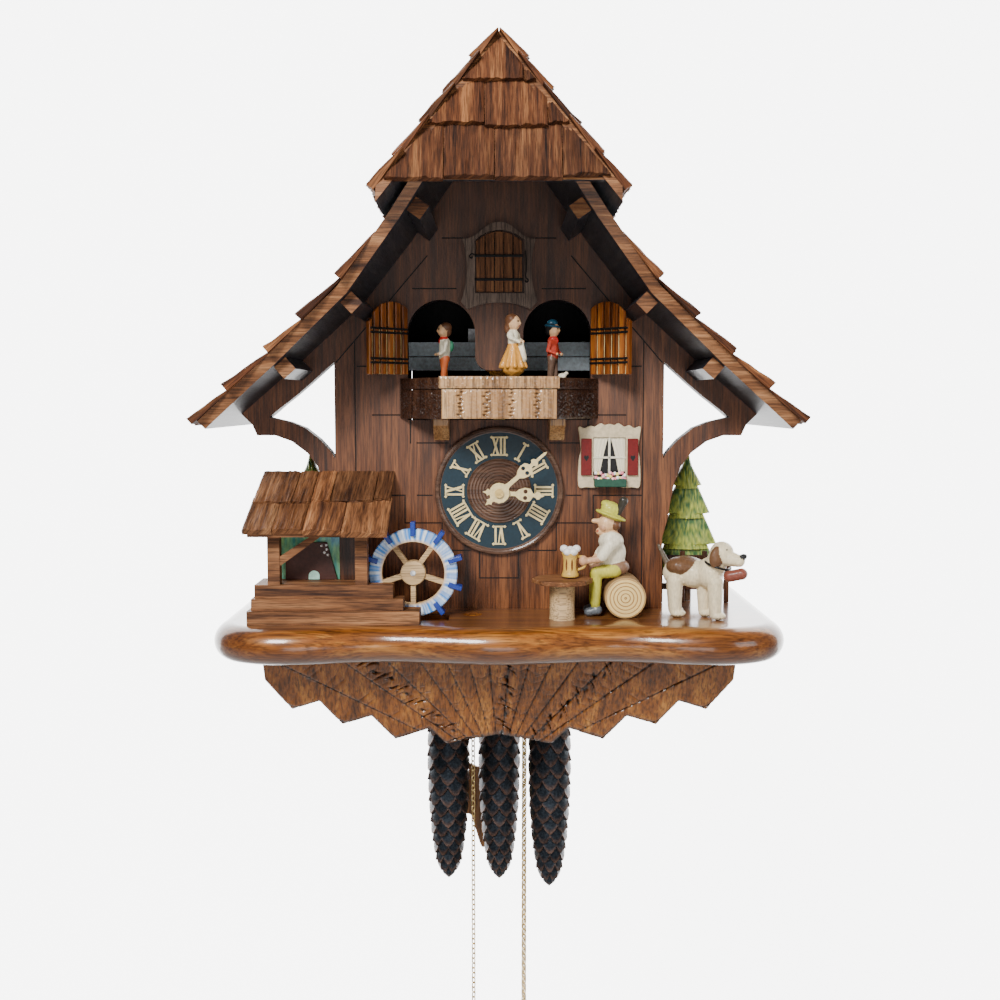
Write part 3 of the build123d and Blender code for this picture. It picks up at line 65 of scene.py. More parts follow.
# ---- Material building blocks ---------------------------------------------------------
class Shader:
    """A principled material with short ways to add nodes."""

    def __init__(self, name, roughness=0.5, metallic=0.0, coat=0.0, coat_rough=0.1, gloss=0.2):
        self.material = bpy.data.materials.new(name)
        self.material.use_nodes = True
        self.tree = self.material.node_tree
        self.base = self.tree.nodes["Principled BSDF"]
        self.base.inputs["Roughness"].default_value = roughness
        self.base.inputs["Metallic"].default_value = metallic
        self.base.inputs["Coat Weight"].default_value = coat
        self.base.inputs["Specular IOR Level"].default_value = gloss
        self.base.inputs["Coat Roughness"].default_value = coat_rough

    def node(self, kind, **values):
        made = self.tree.nodes.new(kind)
        for key, value in values.items():
            if hasattr(made, key):
                setattr(made, key, value)
            else:
                made.inputs[key].default_value = value
        return made

    def link(self, out, into):
        self.tree.links.new(out, into)

    def place(self, scale, source="Object"):
        """Coordinates scaled per axis; source is Object or UV."""
        coords = self.node("ShaderNodeTexCoord")
        mapping = self.node("ShaderNodeMapping")
        mapping.inputs["Scale"].default_value = scale
        self.link(coords.outputs[source], mapping.inputs["Vector"])
        return mapping.outputs["Vector"]

    def noise(self, vector, scale=1.0, detail=4.0, rough=0.55, distortion=0.0):
        made = self.node("ShaderNodeTexNoise")
        made.inputs["Scale"].default_value = scale
        made.inputs["Detail"].default_value = detail
        made.inputs["Roughness"].default_value = rough
        made.inputs["Distortion"].default_value = distortion
        self.link(vector, made.inputs["Vector"])
        return made.outputs["Fac"]

    def ramp(self, factor, stops):
        made = self.node("ShaderNodeValToRGB")
        elements = made.color_ramp.elements
        while len(elements) < len(stops):
            elements.new(0.5)
        for element, (position, colour) in zip(elements, stops):
            element.position = position
            element.color = (*colour, 1.0)
        self.link(factor, made.inputs["Fac"])
        return made.outputs["Color"]

    def mix(self, factor, first, second, blend="MIX"):
        made = self.node("ShaderNodeMix", data_type="RGBA", blend_type=blend)
        for socket, value in ((made.inputs[0], factor), (made.inputs[6], first), (made.inputs[7], second)):
            if isinstance(value, (int, float)):
                socket.default_value = value
            elif isinstance(value, tuple):
                socket.default_value = (*value, 1.0)
            else:
                self.link(value, socket)
        return made.outputs[2]

    def range(self, value, low, high, to_low=0.0, to_high=1.0):
        made = self.node("ShaderNodeMapRange")
        made.inputs["From Min"].default_value = low
        made.inputs["From Max"].default_value = high
        made.inputs["To Min"].default_value = to_low
        made.inputs["To Max"].default_value = to_high
        self.link(value, made.inputs["Value"])
        return made.outputs["Result"]

    def math(self, operation, first, second):
        made = self.node("ShaderNodeMath", operation=operation)
        for socket, value in zip(made.inputs, (first, second)):
            if isinstance(value, (int, float)):
                socket.default_value = value
            else:
                self.link(value, socket)
        return made.outputs["Value"]

    def axis(self, letter):
        """One object coordinate in metres."""
        coords = self.node("ShaderNodeTexCoord")
        split = self.node("ShaderNodeSeparateXYZ")
        self.link(coords.outputs["Object"], split.inputs["Vector"])
        return split.outputs[letter]

    def attribute(self, name):
        made = self.node("ShaderNodeAttribute", attribute_name=name)
        return made.outputs["Color"]

    def bump(self, height, strength=0.3, distance=0.0004):
        made = self.node("ShaderNodeBump")
        made.inputs["Strength"].default_value = strength
        made.inputs["Distance"].default_value = distance
        self.link(height, made.inputs["Height"])
        self.link(made.outputs["Normal"], self.base.inputs["Normal"])

    def colour(self, socket):
        self.link(socket, self.base.inputs["Base Color"])

    def roughness(self, socket):
        self.link(socket, self.base.inputs["Roughness"])


GRAIN = {"X": (0.05, 1.0, 1.0), "Y": (1.0, 0.05, 1.0), "Z": (1.0, 1.0, 0.05)}


def wood_base(shader, stops, grain="Z", fineness=420.0, source="Object", pores=0.5):
    """Grain streaks with pores; returns the colour and the grain's height."""
    stretch = GRAIN[grain]
    scale = tuple(fineness * part for part in stretch)
    vector = shader.place(scale, source)
    broad = shader.noise(vector, 0.35, 3.0, 0.6, 0.6)
    fine = shader.noise(vector, 1.6, 6.0, 0.7)
    streaks = shader.math("ADD", shader.math("MULTIPLY", broad, 0.6), shader.math("MULTIPLY", fine, 0.4))
    colour = shader.ramp(streaks, stops)
    pore = shader.range(shader.noise(vector, 3.4, 2.0, 0.5), 0.38, 0.52)
    dark = shader.mix(pores, colour, (0.0, 0.0, 0.0))
    colour = shader.mix(pore, dark, colour)
    return colour, shader.math("ADD", streaks, shader.math("MULTIPLY", pore, 0.5))


def blotched(shader, colour, scale=14.0, dark=(0.35, 0.3, 0.3), amount=0.5):
    """Broad uneven stain over a colour."""
    patches = shader.noise(shader.place((1.0, 1.0, 1.0)), scale, 3.0, 0.6)
    factor = shader.range(patches, 0.40, 0.66, 0.0, amount)
    return shader.mix(factor, colour, shader.mix(1.0, colour, dark, "MULTIPLY"))


def roof_wood():
    """Roof boards: blue-black below as painted shade, brown on the edges that face the viewer."""
    shader = Shader("roof_wood", 0.5, coat=0.12)
    underside_shade, height = wood_base(shader, SHADED_SOFFIT, "Y")
    edge, _ = wood_base(shader, MILL, "X")
    # Faces turned away from the viewer get the blue-black painted shade; the viewer-facing edges keep the
    # brown wood.
    facing = shader.node("ShaderNodeNewGeometry")
    split = shader.node("ShaderNodeSeparateXYZ")
    shader.link(facing.outputs["Normal"], split.inputs["Vector"])
    front = shader.range(split.outputs["Y"], -0.75, -0.85)
    shader.colour(shader.mix(front, underside_shade, edge))
    shader.bump(height, 0.3)
    return shader.material


def shell_wood(name, inside_from, inside_to, letter):
    """Case board: stained outside, nearly black inside between two depths along an axis, the black being
    painted shade inside the case.
    """
    shader = Shader(name, 0.6)
    outer, height = wood_base(shader, WALNUT)
    depth = shader.math("ABSOLUTE", shader.axis(letter), 0.0)
    # Painted shade: the case's inner faces are made nearly black.
    inner_shade = shader.range(depth, inside_from, inside_to)
    shader.colour(shader.mix(inner_shade, outer, (0.010, 0.009, 0.010)))
    shader.bump(height, 0.25)
    return shader.material


def plain_wood(name, stops, grain="Z", rough=0.55, coat=0.0, fineness=420.0, source="Object",
               bump=0.25, pores=0.5, tinted=False):
    """Stained wood with one grain direction."""
    shader = Shader(name, rough, coat=coat)
    colour, height = wood_base(shader, stops, grain, fineness, source, pores)
    colour = blotched(shader, colour)
    if tinted:
        colour = shader.mix(1.0, colour, shader.attribute("tint"), "MULTIPLY")
    shader.colour(colour)
    shader.bump(height, bump)
    return shader.material


def panel_wood():
    """Front panel: vertical grain, greyer at the top, black in the engraved joints."""
    shader = Shader("panel_wood", 0.52, coat=0.12, coat_rough=0.35)
    low, height = wood_base(shader, [(0.36, (0.028, 0.008, 0.002)), (0.5, (0.130, 0.040, 0.011)),
                                     (0.66, (0.290, 0.105, 0.034))])
    high = shader.mix(0.55, low, (0.110, 0.080, 0.070))
    climb = shader.range(shader.axis("Z"), DECK + 0.02, DECK + 0.21)
    colour = shader.mix(climb, low, high)
    colour = blotched(shader, colour, 9.0)
    depth = shader.range(shader.axis("Y"), -0.1198, -0.1194)
    colour = shader.mix(depth, colour, (0.012, 0.008, 0.007))
    shader.colour(colour)
    shader.bump(height, 0.3)
    return shader.material


def base_wood():
    """Deck: lacquered, honey brown on top, darker towards the rim's underside as painted shade."""
    shader = Shader("base_wood", 0.30, coat=0.7, coat_rough=0.12)
    colour, height = wood_base(shader, [(0.34, (0.060, 0.015, 0.003)), (0.5, (0.240, 0.075, 0.012)),
                                        (0.68, (0.52, 0.22, 0.045))], "X", 300.0)
    # Painted shade on the rim's underside, darkest where it turns downward.
    underside_shade = shader.range(shader.axis("Z"), DECK - 0.019, DECK - 0.008, 1.0, 0.0)
    colour = shader.mix(shader.math("MULTIPLY", underside_shade, 0.75), colour, (0.030, 0.008, 0.003))
    sides = shader.range(shader.math("ABSOLUTE", shader.axis("X"), 0.0), 0.135, 0.166)
    colour = shader.mix(shader.math("MULTIPLY", sides, 0.7), colour, (0.045, 0.012, 0.005))
    top = shader.range(shader.axis("Z"), DECK - 0.002, DECK - 0.0002)
    colour = shader.mix(shader.math("MULTIPLY", top, 0.45), colour, (0.090, 0.040, 0.020))
    shader.colour(blotched(shader, colour, 12.0))
    shader.bump(height, 0.06)
    return shader.material


def metal(name, colour, rough=0.35, worn=0.25):
    """Metal with fine dull patches."""
    shader = Shader(name, rough, metallic=1.0)
    patches = shader.noise(shader.place((600.0, 600.0, 600.0)), 1.0, 5.0, 0.6)
    dull = tuple(part * 0.45 for part in colour)
    shader.colour(shader.mix(shader.range(patches, 0.42, 0.7, 0.0, worn * 2), colour, dull))
    shader.roughness(shader.range(patches, 0.3, 0.7, rough - 0.08, rough + 0.15))
    shader.bump(patches, 0.08, 0.0001)
    return shader.material


def paint(name, rough=0.42, coat=0.15):
    """Hand paint over carved wood, its colour from the mesh."""
    shader = Shader(name, rough, coat=coat)
    brush = shader.noise(shader.place((900.0, 900.0, 300.0)), 1.0, 4.0, 0.6)
    shade = shader.range(brush, 0.3, 0.7, 0.78, 1.12)
    grey = shader.node("ShaderNodeCombineColor")
    for part in ("Red", "Green", "Blue"):
        shader.link(shade, grey.inputs[part])
    shader.colour(shader.mix(1.0, shader.attribute("paint"), grey.outputs["Color"], "MULTIPLY"))
    shader.bump(brush, 0.25, 0.0003)
    return shader.material


def cast_iron():
    """Blue-black iron, coppery where the scales' tips are rubbed."""
    shader = Shader("cast_iron", 0.42, metallic=0.75)
    rub = shader.attribute("wear")
    patches = shader.noise(shader.place((700.0, 700.0, 700.0)), 1.0, 5.0, 0.65)
    iron = shader.mix(shader.range(patches, 0.4, 0.7), (0.008, 0.011, 0.015), (0.032, 0.040, 0.050))
    shader.colour(shader.mix(shader.math("MULTIPLY", rub, shader.range(patches, 0.3, 0.6, 0.6, 1.4)),
                             iron, (0.42, 0.19, 0.085)))
    shader.bump(patches, 0.3, 0.0002)
    return shader.material


def carved_wood(name, dark, middle, light):
    """Carved wood, with painted shade in the cuts; the mesh gives the cuts."""
    shader = Shader(name, 0.36, coat=0.5, coat_rough=0.15)
    colour, height = wood_base(shader, [(0.30, dark), (0.5, middle), (0.72, light)], "Z", 260.0)
    cut = shader.node("ShaderNodeSeparateColor")
    shader.link(shader.attribute("carving"), cut.inputs["Color"])
    # Painted shade along the rows the mesh marks in green, the apron's top and bottom.
    colour = shader.mix(cut.outputs["Green"], colour, dark)
    # Painted shade in the cuts the mesh marks in red.
    cut_shade = shader.range(cut.outputs["Red"], 0.25, 0.95)
    shader.colour(shader.mix(cut_shade, colour, tuple(0.25 * part for part in dark)))
    shader.bump(height, 0.2)
    return shader.material


def flat(name, colour, rough):
    """Hand-painted surface of one colour with faint brushwork."""
    shader = Shader(name, rough, coat=0.1)
    brush = shader.noise(shader.place((500.0, 500.0, 500.0)), 1.0, 4.0, 0.6)
    worn = tuple(0.62 * part for part in colour)
    shader.colour(shader.mix(shader.range(brush, 0.35, 0.75, 0.0, 0.8), colour, worn))
    shader.bump(brush, 0.15, 0.0002)
    return shader.material


def cloth(name, colour):
    """Curtains carved and painted, with a faint weave."""
    shader = Shader(name, 0.9)
    weave = shader.noise(shader.place((4000.0, 4000.0, 4000.0)), 1.0, 2.0, 0.5)
    shader.colour(shader.mix(shader.range(weave, 0.3, 0.7), colour, tuple(0.85 * part for part in colour)))
    shader.bump(weave, 0.2, 0.0001)
    return shader.material


def log_wood():
    """Yellow end grain with brown rings; bark brown on the round side."""
    shader = Shader("log_wood", 0.55)
    offset_x = shader.math("SUBTRACT", shader.axis("X"), LOG_X * MM)
    offset_z = shader.math("SUBTRACT", shader.axis("Z"), DECK + LOG_Z * MM)
    square = shader.math("ADD", shader.math("MULTIPLY", offset_x, offset_x),
                         shader.math("MULTIPLY", offset_z, offset_z))
    radius = shader.math("SQRT", square, 0.0)
    ring = shader.math("SINE", shader.math("MULTIPLY", radius, 2900.0), 0.0)
    colour = shader.mix(shader.range(ring, 0.45, 0.95), (0.74, 0.52, 0.20), (0.30, 0.14, 0.045))
    bark = shader.range(radius, 0.01165, 0.0119)
    shader.colour(shader.mix(bark, colour, (0.30, 0.18, 0.08)))
    return shader.material


WALNUT = [(0.34, (0.012, 0.004, 0.002)), (0.5, (0.050, 0.016, 0.006)), (0.66, (0.13, 0.045, 0.017))]
SHAKE = [(0.36, (0.018, 0.006, 0.003)), (0.5, (0.125, 0.040, 0.013)), (0.66, (0.36, 0.15, 0.055))]
MILL = [(0.36, (0.045, 0.016, 0.007)), (0.5, (0.20, 0.080, 0.030)), (0.66, (0.42, 0.20, 0.085))]
PINE = [(0.30, (0.36, 0.22, 0.10)), (0.5, (0.52, 0.34, 0.17)), (0.72, (0.66, 0.46, 0.25))]
CARVED = [(0.30, (0.070, 0.026, 0.008)), (0.5, (0.22, 0.088, 0.022)), (0.72, (0.42, 0.20, 0.060))]
DIAL_WOOD = [(0.30, (0.045, 0.022, 0.014)), (0.5, (0.110, 0.056, 0.034)), (0.72, (0.20, 0.115, 0.070))]
AMBER = [(0.34, (0.050, 0.012, 0.003)), (0.5, (0.27, 0.075, 0.012)), (0.68, (0.56, 0.20, 0.035))]
GREY_OAK = [(0.34, (0.070, 0.046, 0.034)), (0.5, (0.17, 0.120, 0.092)), (0.68, (0.27, 0.195, 0.150))]
# Blue-black painted shade for the roof boards' undersides.
SHADED_SOFFIT = [(0.30, (0.010, 0.011, 0.016)), (0.5, (0.022, 0.023, 0.030)), (0.72, (0.050, 0.045, 0.045))]

MATERIALS = {
    "panel": panel_wood(),
    "base": base_wood(),
    "plain": plain_wood("plain_wood", PINE, rough=0.7),
    "dark": plain_wood("dark_wood", WALNUT, rough=0.5, coat=0.1),
    "soffit": roof_wood(),
    "surround": plain_wood("surround_wood", GREY_OAK, rough=0.5, coat=0.12),
    "back": shell_wood("back_wood", 0.0070, 0.0078, "Y"),
    "sides": shell_wood("side_wood", 0.0930, 0.0900, "X"),
    "shake": plain_wood("shingle_wood", SHAKE, "Y", rough=0.75, source="UV", fineness=520.0,
                        bump=0.7, tinted=True),
    "mill": plain_wood("mill_wood", MILL, "X", rough=0.55),
    "carved": plain_wood("carved_wood", CARVED, "Z", rough=0.38, coat=0.45, bump=0.3),
    "brass": metal("brass", (0.60, 0.42, 0.16)),
    "chain_brass": metal("chain_brass", (0.55, 0.40, 0.17), 0.3),
    "steel": metal("steel", (0.55, 0.55, 0.56)),
    "paint": paint("figure_paint"),
    "iron": cast_iron(),
    "carved_fan": carved_wood("carved_fan", (0.022, 0.006, 0.001), (0.19, 0.060, 0.009),
                              (0.46, 0.195, 0.038)),
    "tan_wood": carved_wood("tan_wood", (0.12, 0.048, 0.014), (0.40, 0.21, 0.085), (0.60, 0.38, 0.19)),
    "char_wood": carved_wood("char_wood", (0.010, 0.004, 0.002), (0.034, 0.013, 0.007),
                             (0.10, 0.045, 0.022)),
    "tan_plain": plain_wood("tan_plain_wood", PINE, "X", rough=0.6),
    "dial_brown": plain_wood("dial_wood", DIAL_WOOD, "X", rough=0.42, coat=0.25),
    "panel_plain": plain_wood("door_wood", MILL, rough=0.55),
    "amber_wood": plain_wood("amber_wood", AMBER, rough=0.35, coat=0.4, tinted=True),
    "teal": flat("chapter_paint", (0.005, 0.022, 0.034), 0.45),
    "ivory": flat("ivory_plastic", (0.74, 0.58, 0.28), 0.35),
    "black": flat("black_paint", (0.006, 0.005, 0.005), 0.5),
    "cream": flat("cream_paint", (0.62, 0.50, 0.32), 0.6),
    "white": flat("white_paint", (0.76, 0.70, 0.54), 0.5),
    "red_paint": flat("red_paint", (0.15, 0.006, 0.005), 0.4),
    "green_dark": flat("green_paint", (0.018, 0.075, 0.045), 0.5),
    "blue_paint": flat("blue_paint", (0.012, 0.038, 0.26), 0.4),
    "green_grey": flat("green_grey_paint", (0.10, 0.14, 0.10), 0.5),
    "mug_yellow": flat("mug_paint", (0.66, 0.40, 0.08), 0.4),
    "mint": flat("mint_paint", (0.38, 0.62, 0.50), 0.5),
    "mill_brown": flat("mill_paint", (0.060, 0.022, 0.016), 0.5),
    "pale_plank": flat("pale_plank", (0.80, 0.90, 0.95), 0.6),
    "curtain_paint": cloth("curtain_paint", (0.78, 0.70, 0.52)),
    "log_rings": log_wood(),
    "cord": plain_wood("tie_cord", PINE, rough=0.9),
    "mill_shake": plain_wood("mill_shingle_wood", MILL, "Y", rough=0.7, source="UV", fineness=520.0,
                             bump=0.7, tinted=True),
}


# ---- Mesh building blocks -------------------------------------------------------------
def finish_piece(piece, body="case", replaced=()):
    """Register a piece with the frame."""
    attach(piece, body)
    if replaced:
        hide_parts(*replaced)
    return piece


def add_object(name, mesh, material):
    """Put a mesh into the scene with one material."""
    piece = bpy.data.objects.new(name, mesh)
    bpy.context.scene.collection.objects.link(piece)
    mesh.materials.append(MATERIALS[material] if isinstance(material, str) else material)
    return piece


def smooth(piece, angle=40.0):
    """Smooth shading that keeps edges sharper than an angle."""
    piece.data.shade_smooth()
    piece.data.set_sharp_from_angle(angle=radians(angle))


def bevel(piece, width, segments=2):
    """Small rounded edges, in millimetres."""
    modifier = piece.modifiers.new("edges", "BEVEL")
    modifier.width = width * MM
    modifier.segments = segments
    modifier.limit_method = "ANGLE"
    modifier.angle_limit = radians(35)
    modifier.harden_normals = False


class Bag:
    """Points, faces, grain coordinates and tints of one mesh."""

    def __init__(self):
        self.points = []
        self.faces = []
        self.uvs = []
        self.tints = []

    def add(self, points, faces, uvs=None, tint=(1.0, 1.0, 1.0)):
        start = len(self.points)
        self.points.extend(points)
        self.faces.extend([tuple(start + index for index in face) for face in faces])
        self.uvs.extend(uvs if uvs else [(0.0, 0.0)] * len(points))
        self.tints.extend([tint] * len(points))

    def piece(self, name, material, colour_name="tint"):
        mesh = bpy.data.meshes.new(name)
        mesh.from_pydata([place(*point) for point in self.points], [], self.faces)
        layer = mesh.uv_layers.new(name="grain")
        for loop in mesh.loops:
            layer.data[loop.index].uv = self.uvs[loop.vertex_index]
        colours = mesh.color_attributes.new(colour_name, "FLOAT_COLOR", "POINT")
        for index, tint in enumerate(self.tints):
            colours.data[index].color = (*tint, 1.0)
        return add_object(name, mesh, material)


def wobble(index, spread=1.0):
    """Repeatable unevenness between -spread and spread."""
    return spread * sin(12.9898 * index + 4.1414 * index * index)


BAR_FACES = [(0, 1, 2, 3), (7, 6, 5, 4), (0, 4, 5, 1), (1, 5, 6, 2), (2, 6, 7, 3), (3, 7, 4, 0)]


def grid_faces(columns, rows, offset=0):
    """Quads of a grid with columns x rows cells."""
    faces = []
    for row in range(rows):
        for column in range(columns):
            a = offset + row * (columns + 1) + column
            faces.append((a, a + 1, a + columns + 2, a + columns + 1))
    return faces


# ---- Camera, light and stage ----------------------------------------------------------
def make_camera():
    """Camera level with the balcony, looking slightly down at the clock."""
    data = bpy.data.cameras.new("camera")
    data.lens = 41.4
    data.sensor_width = 36.0
    data.clip_start = 0.01
    camera = bpy.data.objects.new("camera", data)
    bpy.context.scene.collection.objects.link(camera)
    camera.location = place(0.5, PANEL_Y - 701.0, 128.1)
    camera.rotation_euler = Euler((radians(90 - 4.97), 0, 0))
    bpy.context.scene.camera = camera


def area_light(name, location, target, size, power, colour=(1.0, 1.0, 1.0)):
    """Soft square light aimed at a point, in metres."""
    data = bpy.data.lights.new(name, "AREA")
    data.size = size
    data.energy = power
    data.color = colour
    lamp = bpy.data.objects.new(name, data)
    bpy.context.scene.collection.objects.link(lamp)
    lamp.location = location
    lamp.rotation_euler = (Vector(target) - Vector(location)).to_track_quat("-Z", "Y").to_euler()


def make_stage():
    """White backdrop behind and below, with a white sky."""
    shader = Shader("backdrop_white", 0.9)
    shader.base.inputs["Base Color"].default_value = (0.95, 0.95, 0.95, 1)
    shader.base.inputs["Emission Color"].default_value = (1, 1, 1, 1)
    shader.base.inputs["Emission Strength"].default_value = 6.0
    bag = Bag()
    bag.add([(-6000, 1600, -4000), (6000, 1600, -4000), (6000, 1600, 5000), (-6000, 1600, 5000)],
            [(0, 1, 2, 3)])
    wall = bag.piece("backdrop", shader.material)
    bag = Bag()
    bag.add([(-6000, -6000, -1400), (6000, -6000, -1400), (6000, 1600, -1400), (-6000, 1600, -1400)],
            [(0, 1, 2, 3)])
    ground = Shader("floor_pale", 0.9)
    ground.base.inputs["Base Color"].default_value = (0.42, 0.41, 0.40, 1)
    floor_piece = bag.piece("floor", ground.material)
    world = bpy.data.worlds.new("sky")
    world.use_nodes = True
    world.node_tree.nodes["Background"].inputs["Color"].default_value = (1, 1, 1, 1)
    world.node_tree.nodes["Background"].inputs["Strength"].default_value = 0.25
    bpy.context.scene.world = world
    area_light("key", (-0.6, -1.7, 1.0), (0, -0.15, -0.05), 0.55, 68.0)
    area_light("fill", (1.3, -1.5, 0.3), (0, -0.15, -0.1), 0.8, 9.0)
    area_light("low_front", (0.0, -1.9, -0.5), (0, -0.15, -0.2), 0.7, 6.0)


# ---- Chains ---------------------------------------------------------------------------
CHAIN_D = 3.5
LINK_PITCH = 3.5
LINK_LENGTH = 5.0
LINK_WIRE = 0.42          # wire radius
DECK_HOLE_Z = -2.0
HANK_TOP = -309.0
HANK_RUN = 60.0
HANK_R = 10.5             # bend radius of the hank's folds
HANK_TURNS = 10
# free end's x, chain plane y, hank's middle y, and the side the hank is wound from
FREE_ENDS = [(-17.8, -54.0, -54.0, 1), (16.8, -46.0, -28.0, -1), (17.2, -62.0, -80.0, 1)]
# weight's x and chain plane y
WEIGHTS = [(-34.6, -54.0, -199.5), (0.0, -46.0, -203.5), (34.0, -62.0, -202.0)]
WEIGHT_EYE_Z = -70.0
SPROCKET_Z = 48.0


def hank_points(x, chain_y, middle_y, side):
    """Points of a free chain: straight down, around the hank's folds and to its ring."""
    points = [(x, chain_y, DECK_HOLE_Z), (x, chain_y, -80), (x, chain_y, -160), (x, chain_y, -240)]
    edge = middle_y + side * (HANK_TURNS - 1) * CHAIN_D / 2
    points += [(x, chain_y, HANK_TOP + 22), (x, chain_y, HANK_TOP + 10)]
    top = HANK_TOP - CHAIN_D / 2 - HANK_R
    low = HANK_TOP - HANK_RUN + CHAIN_D / 2 + HANK_R
    points.append((x + 9, (chain_y + edge) / 2 + side, HANK_TOP + 1.5))
    points.append((x + HANK_R + 2.5, edge, top + 8))
    corner = HANK_R * 1.03
    for turn in range(HANK_TURNS):
        start = edge - side * turn * CHAIN_D
        shift = -side * CHAIN_D
        ring = [(HANK_R, top), (HANK_R, low)]
        for step in range(1, 8):
            angle = pi * step / 8
            ring.append((corner * cos(angle), low - corner * sin(angle)))
        ring += [(-HANK_R, low), (-HANK_R, top)]
        if turn < HANK_TURNS - 1:
            for step in range(1, 8):
                angle = pi * step / 8
                ring.append((-corner * cos(angle), top + corner * sin(angle)))
        for index, (dx, z) in enumerate(ring):
            share = max(0.0, (index - 10) / 8) if turn < HANK_TURNS - 1 else 0.0
            points.append((x + dx, start + shift * share, z))
    last = edge - side * (HANK_TURNS - 1) * CHAIN_D
    points.append((x - HANK_R - 1.0, last - side * 2.5, top + 7))
    points.append((x - HANK_R - 5.0, last - side * 4.0, top - 4))
    points.append((x - HANK_R - 5.0, last - side * 4.0, low + 2))
    points.append((x - HANK_R - 2.0, last - side * 4.0, low - HANK_R - 4))
    points.append((x - 2, middle_y - side * 6, low - HANK_R - 6))
    points.append((x, middle_y, low - HANK_R - 7))
    return points


def route_line(name, points):
    """Points along a smooth open NURBS through a route, in metres."""
    curve = bpy.data.curves.new(name, "CURVE")
    curve.dimensions = "3D"
    curve.resolution_u = 6
    spline = curve.splines.new("NURBS")
    spline.points.add(len(points) - 1)
    for made, point in zip(spline.points, points):
        made.co = (*place(*point), 1.0)
    spline.order_u = 3
    spline.use_endpoint_u = True
    route = bpy.data.objects.new(name, curve)
    bpy.context.scene.collection.objects.link(route)
    bpy.context.view_layer.update()
    mesh = bpy.data.meshes.new_from_object(route)
    line = [vertex.co.copy() for vertex in mesh.vertices]
    bpy.data.objects.remove(route)
    bpy.data.meshes.remove(mesh)
    return line


def link_mesh():
    """One stadium-shaped link in the XZ plane: rings of points and its faces, in metres."""
    around, section = 12, 5
    straight = (LINK_LENGTH - CHAIN_D) / 2
    bend = (CHAIN_D / 2 - LINK_WIRE)
    points, faces = [], []
    for index in range(around):
        angle = 2 * pi * index / around
        out = Vector((cos(angle), 0, sin(angle)))
        centre = out * bend + Vector((0, 0, straight if sin(angle) > 0 else -straight))
        for part in range(section):
            turn = 2 * pi * part / section
            ring = out * cos(turn) + Vector((0, 1, 0)) * sin(turn)
            points.append((centre + ring * LINK_WIRE) * MM)
    for index in range(around):
        following = (index + 1) % around
        for part in range(section):
            after = (part + 1) % section
            faces.append((index * section + part, following * section + part,
                          following * section + after, index * section + after))
    return points, faces


def chain_piece(name, line):
    """Oval links along a line, each turned a quarter from the last."""
    link_points, link_faces = link_mesh()
    points, faces = [], []
    side = Vector((0, 1, 0))
    travelled, wanted, count = 0.0, LINK_PITCH * MM / 2, 0
    for start, end in zip(line, line[1:]):
        step = (end - start).length
        while step and travelled + step >= wanted:
            along = (end - start) / step
            centre = start + along * (wanted - travelled)
            side = (side - along * side.dot(along)).normalized()
            other = along.cross(side)
            roll = pi / 4 + (pi / 2 if count % 2 else 0.0)
            across = side * cos(roll) + other * sin(roll)
            depth = along.cross(across)
            base = len(points)
            points.extend([centre + across * p.x + depth * p.y + along * p.z for p in link_points])
            faces.extend([tuple(base + index for index in face) for face in link_faces])
            wanted += LINK_PITCH * MM
            count += 1
        travelled += step
    mesh = bpy.data.meshes.new(name)
    mesh.from_pydata(points, [], faces)
    mesh.shade_smooth()
    return add_object(name, mesh, "chain_brass"), travelled


def make_tie(name, x, y):
    """Two turns of thin cord around the waist of a hank."""
    half_x, half_y = HANK_R + CHAIN_D / 2 + 1.2, HANK_TURNS * CHAIN_D / 2 + 1.2
    middle = HANK_TOP - HANK_RUN / 2
    curve = bpy.data.curves.new(name, "CURVE")
    curve.dimensions = "3D"
    curve.bevel_depth = 0.8 * MM
    for turn in range(2):
        spline = curve.splines.new("POLY")
        spline.use_cyclic_u = True
        spline.points.add(23)
        for index, made in enumerate(spline.points):
            angle = 2 * pi * index / 24
            power_x = abs(cos(angle)) ** 0.3 * (1 if cos(angle) > 0 else -1)
            power_y = abs(sin(angle)) ** 0.3 * (1 if sin(angle) > 0 else -1)
            made.co = (*place(x + half_x * power_x, y + half_y * power_y, middle - turn * 1.7), 1.0)
    tie = bpy.data.objects.new(name, curve)
    bpy.context.scene.collection.objects.link(tie)
    curve.materials.append(MATERIALS["cord"])
    return tie


def make_free_chains():
    """Three free chain ends with their hanks and ties; the pull rings are the design's own."""
    for index, (x, chain_y, middle_y, side) in enumerate(FREE_ENDS):
        number = index + 1
        body = f"free_end_{number}"
        line = route_line(f"route_{number}", hank_points(x, chain_y, middle_y, side))
        chain, length = chain_piece(f"free_chain_links_{number}", line)
        finish_piece(chain, body, [f"free_chain_{number}", f"chain_hank_{number}"])
        tie = finish_piece(make_tie(f"hank_tie_{number}", x, middle_y), body)


def make_weight_chains():
    """The driven sides of the chains, from the sprockets to the weights' hooks."""
    for index, (x, y, _) in enumerate(WEIGHTS):
        number = index + 1
        line = [place(x, y, SPROCKET_Z), place(x, y, WEIGHT_EYE_Z + 1)]
        chain, _ = chain_piece(f"weight_links_{number}", line)
        finish_piece(chain, f"weight_{number}", [f"weight_chain_{number}"])


# ---- Cones ----------------------------------------------------------------------------
CONE_TOP = -76.0
CONE_ROWS = 13
CONE_SCALES = 8


def cone_radius(share):
    """Radius of a cone at a share of its height from the top."""
    knots = [(0.0, 7.5), (0.05, 11.2), (0.14, 13.6), (0.32, 14.0), (0.55, 13.2), (0.75, 11.2),
             (0.9, 8.2), (0.97, 4.6), (1.0, 1.2)]
    for (s0, r0), (s1, r1) in zip(knots, knots[1:]):
        if share <= s1:
            return r0 + (r1 - r0) * (share - s0) / (s1 - s0)
    return knots[-1][1]


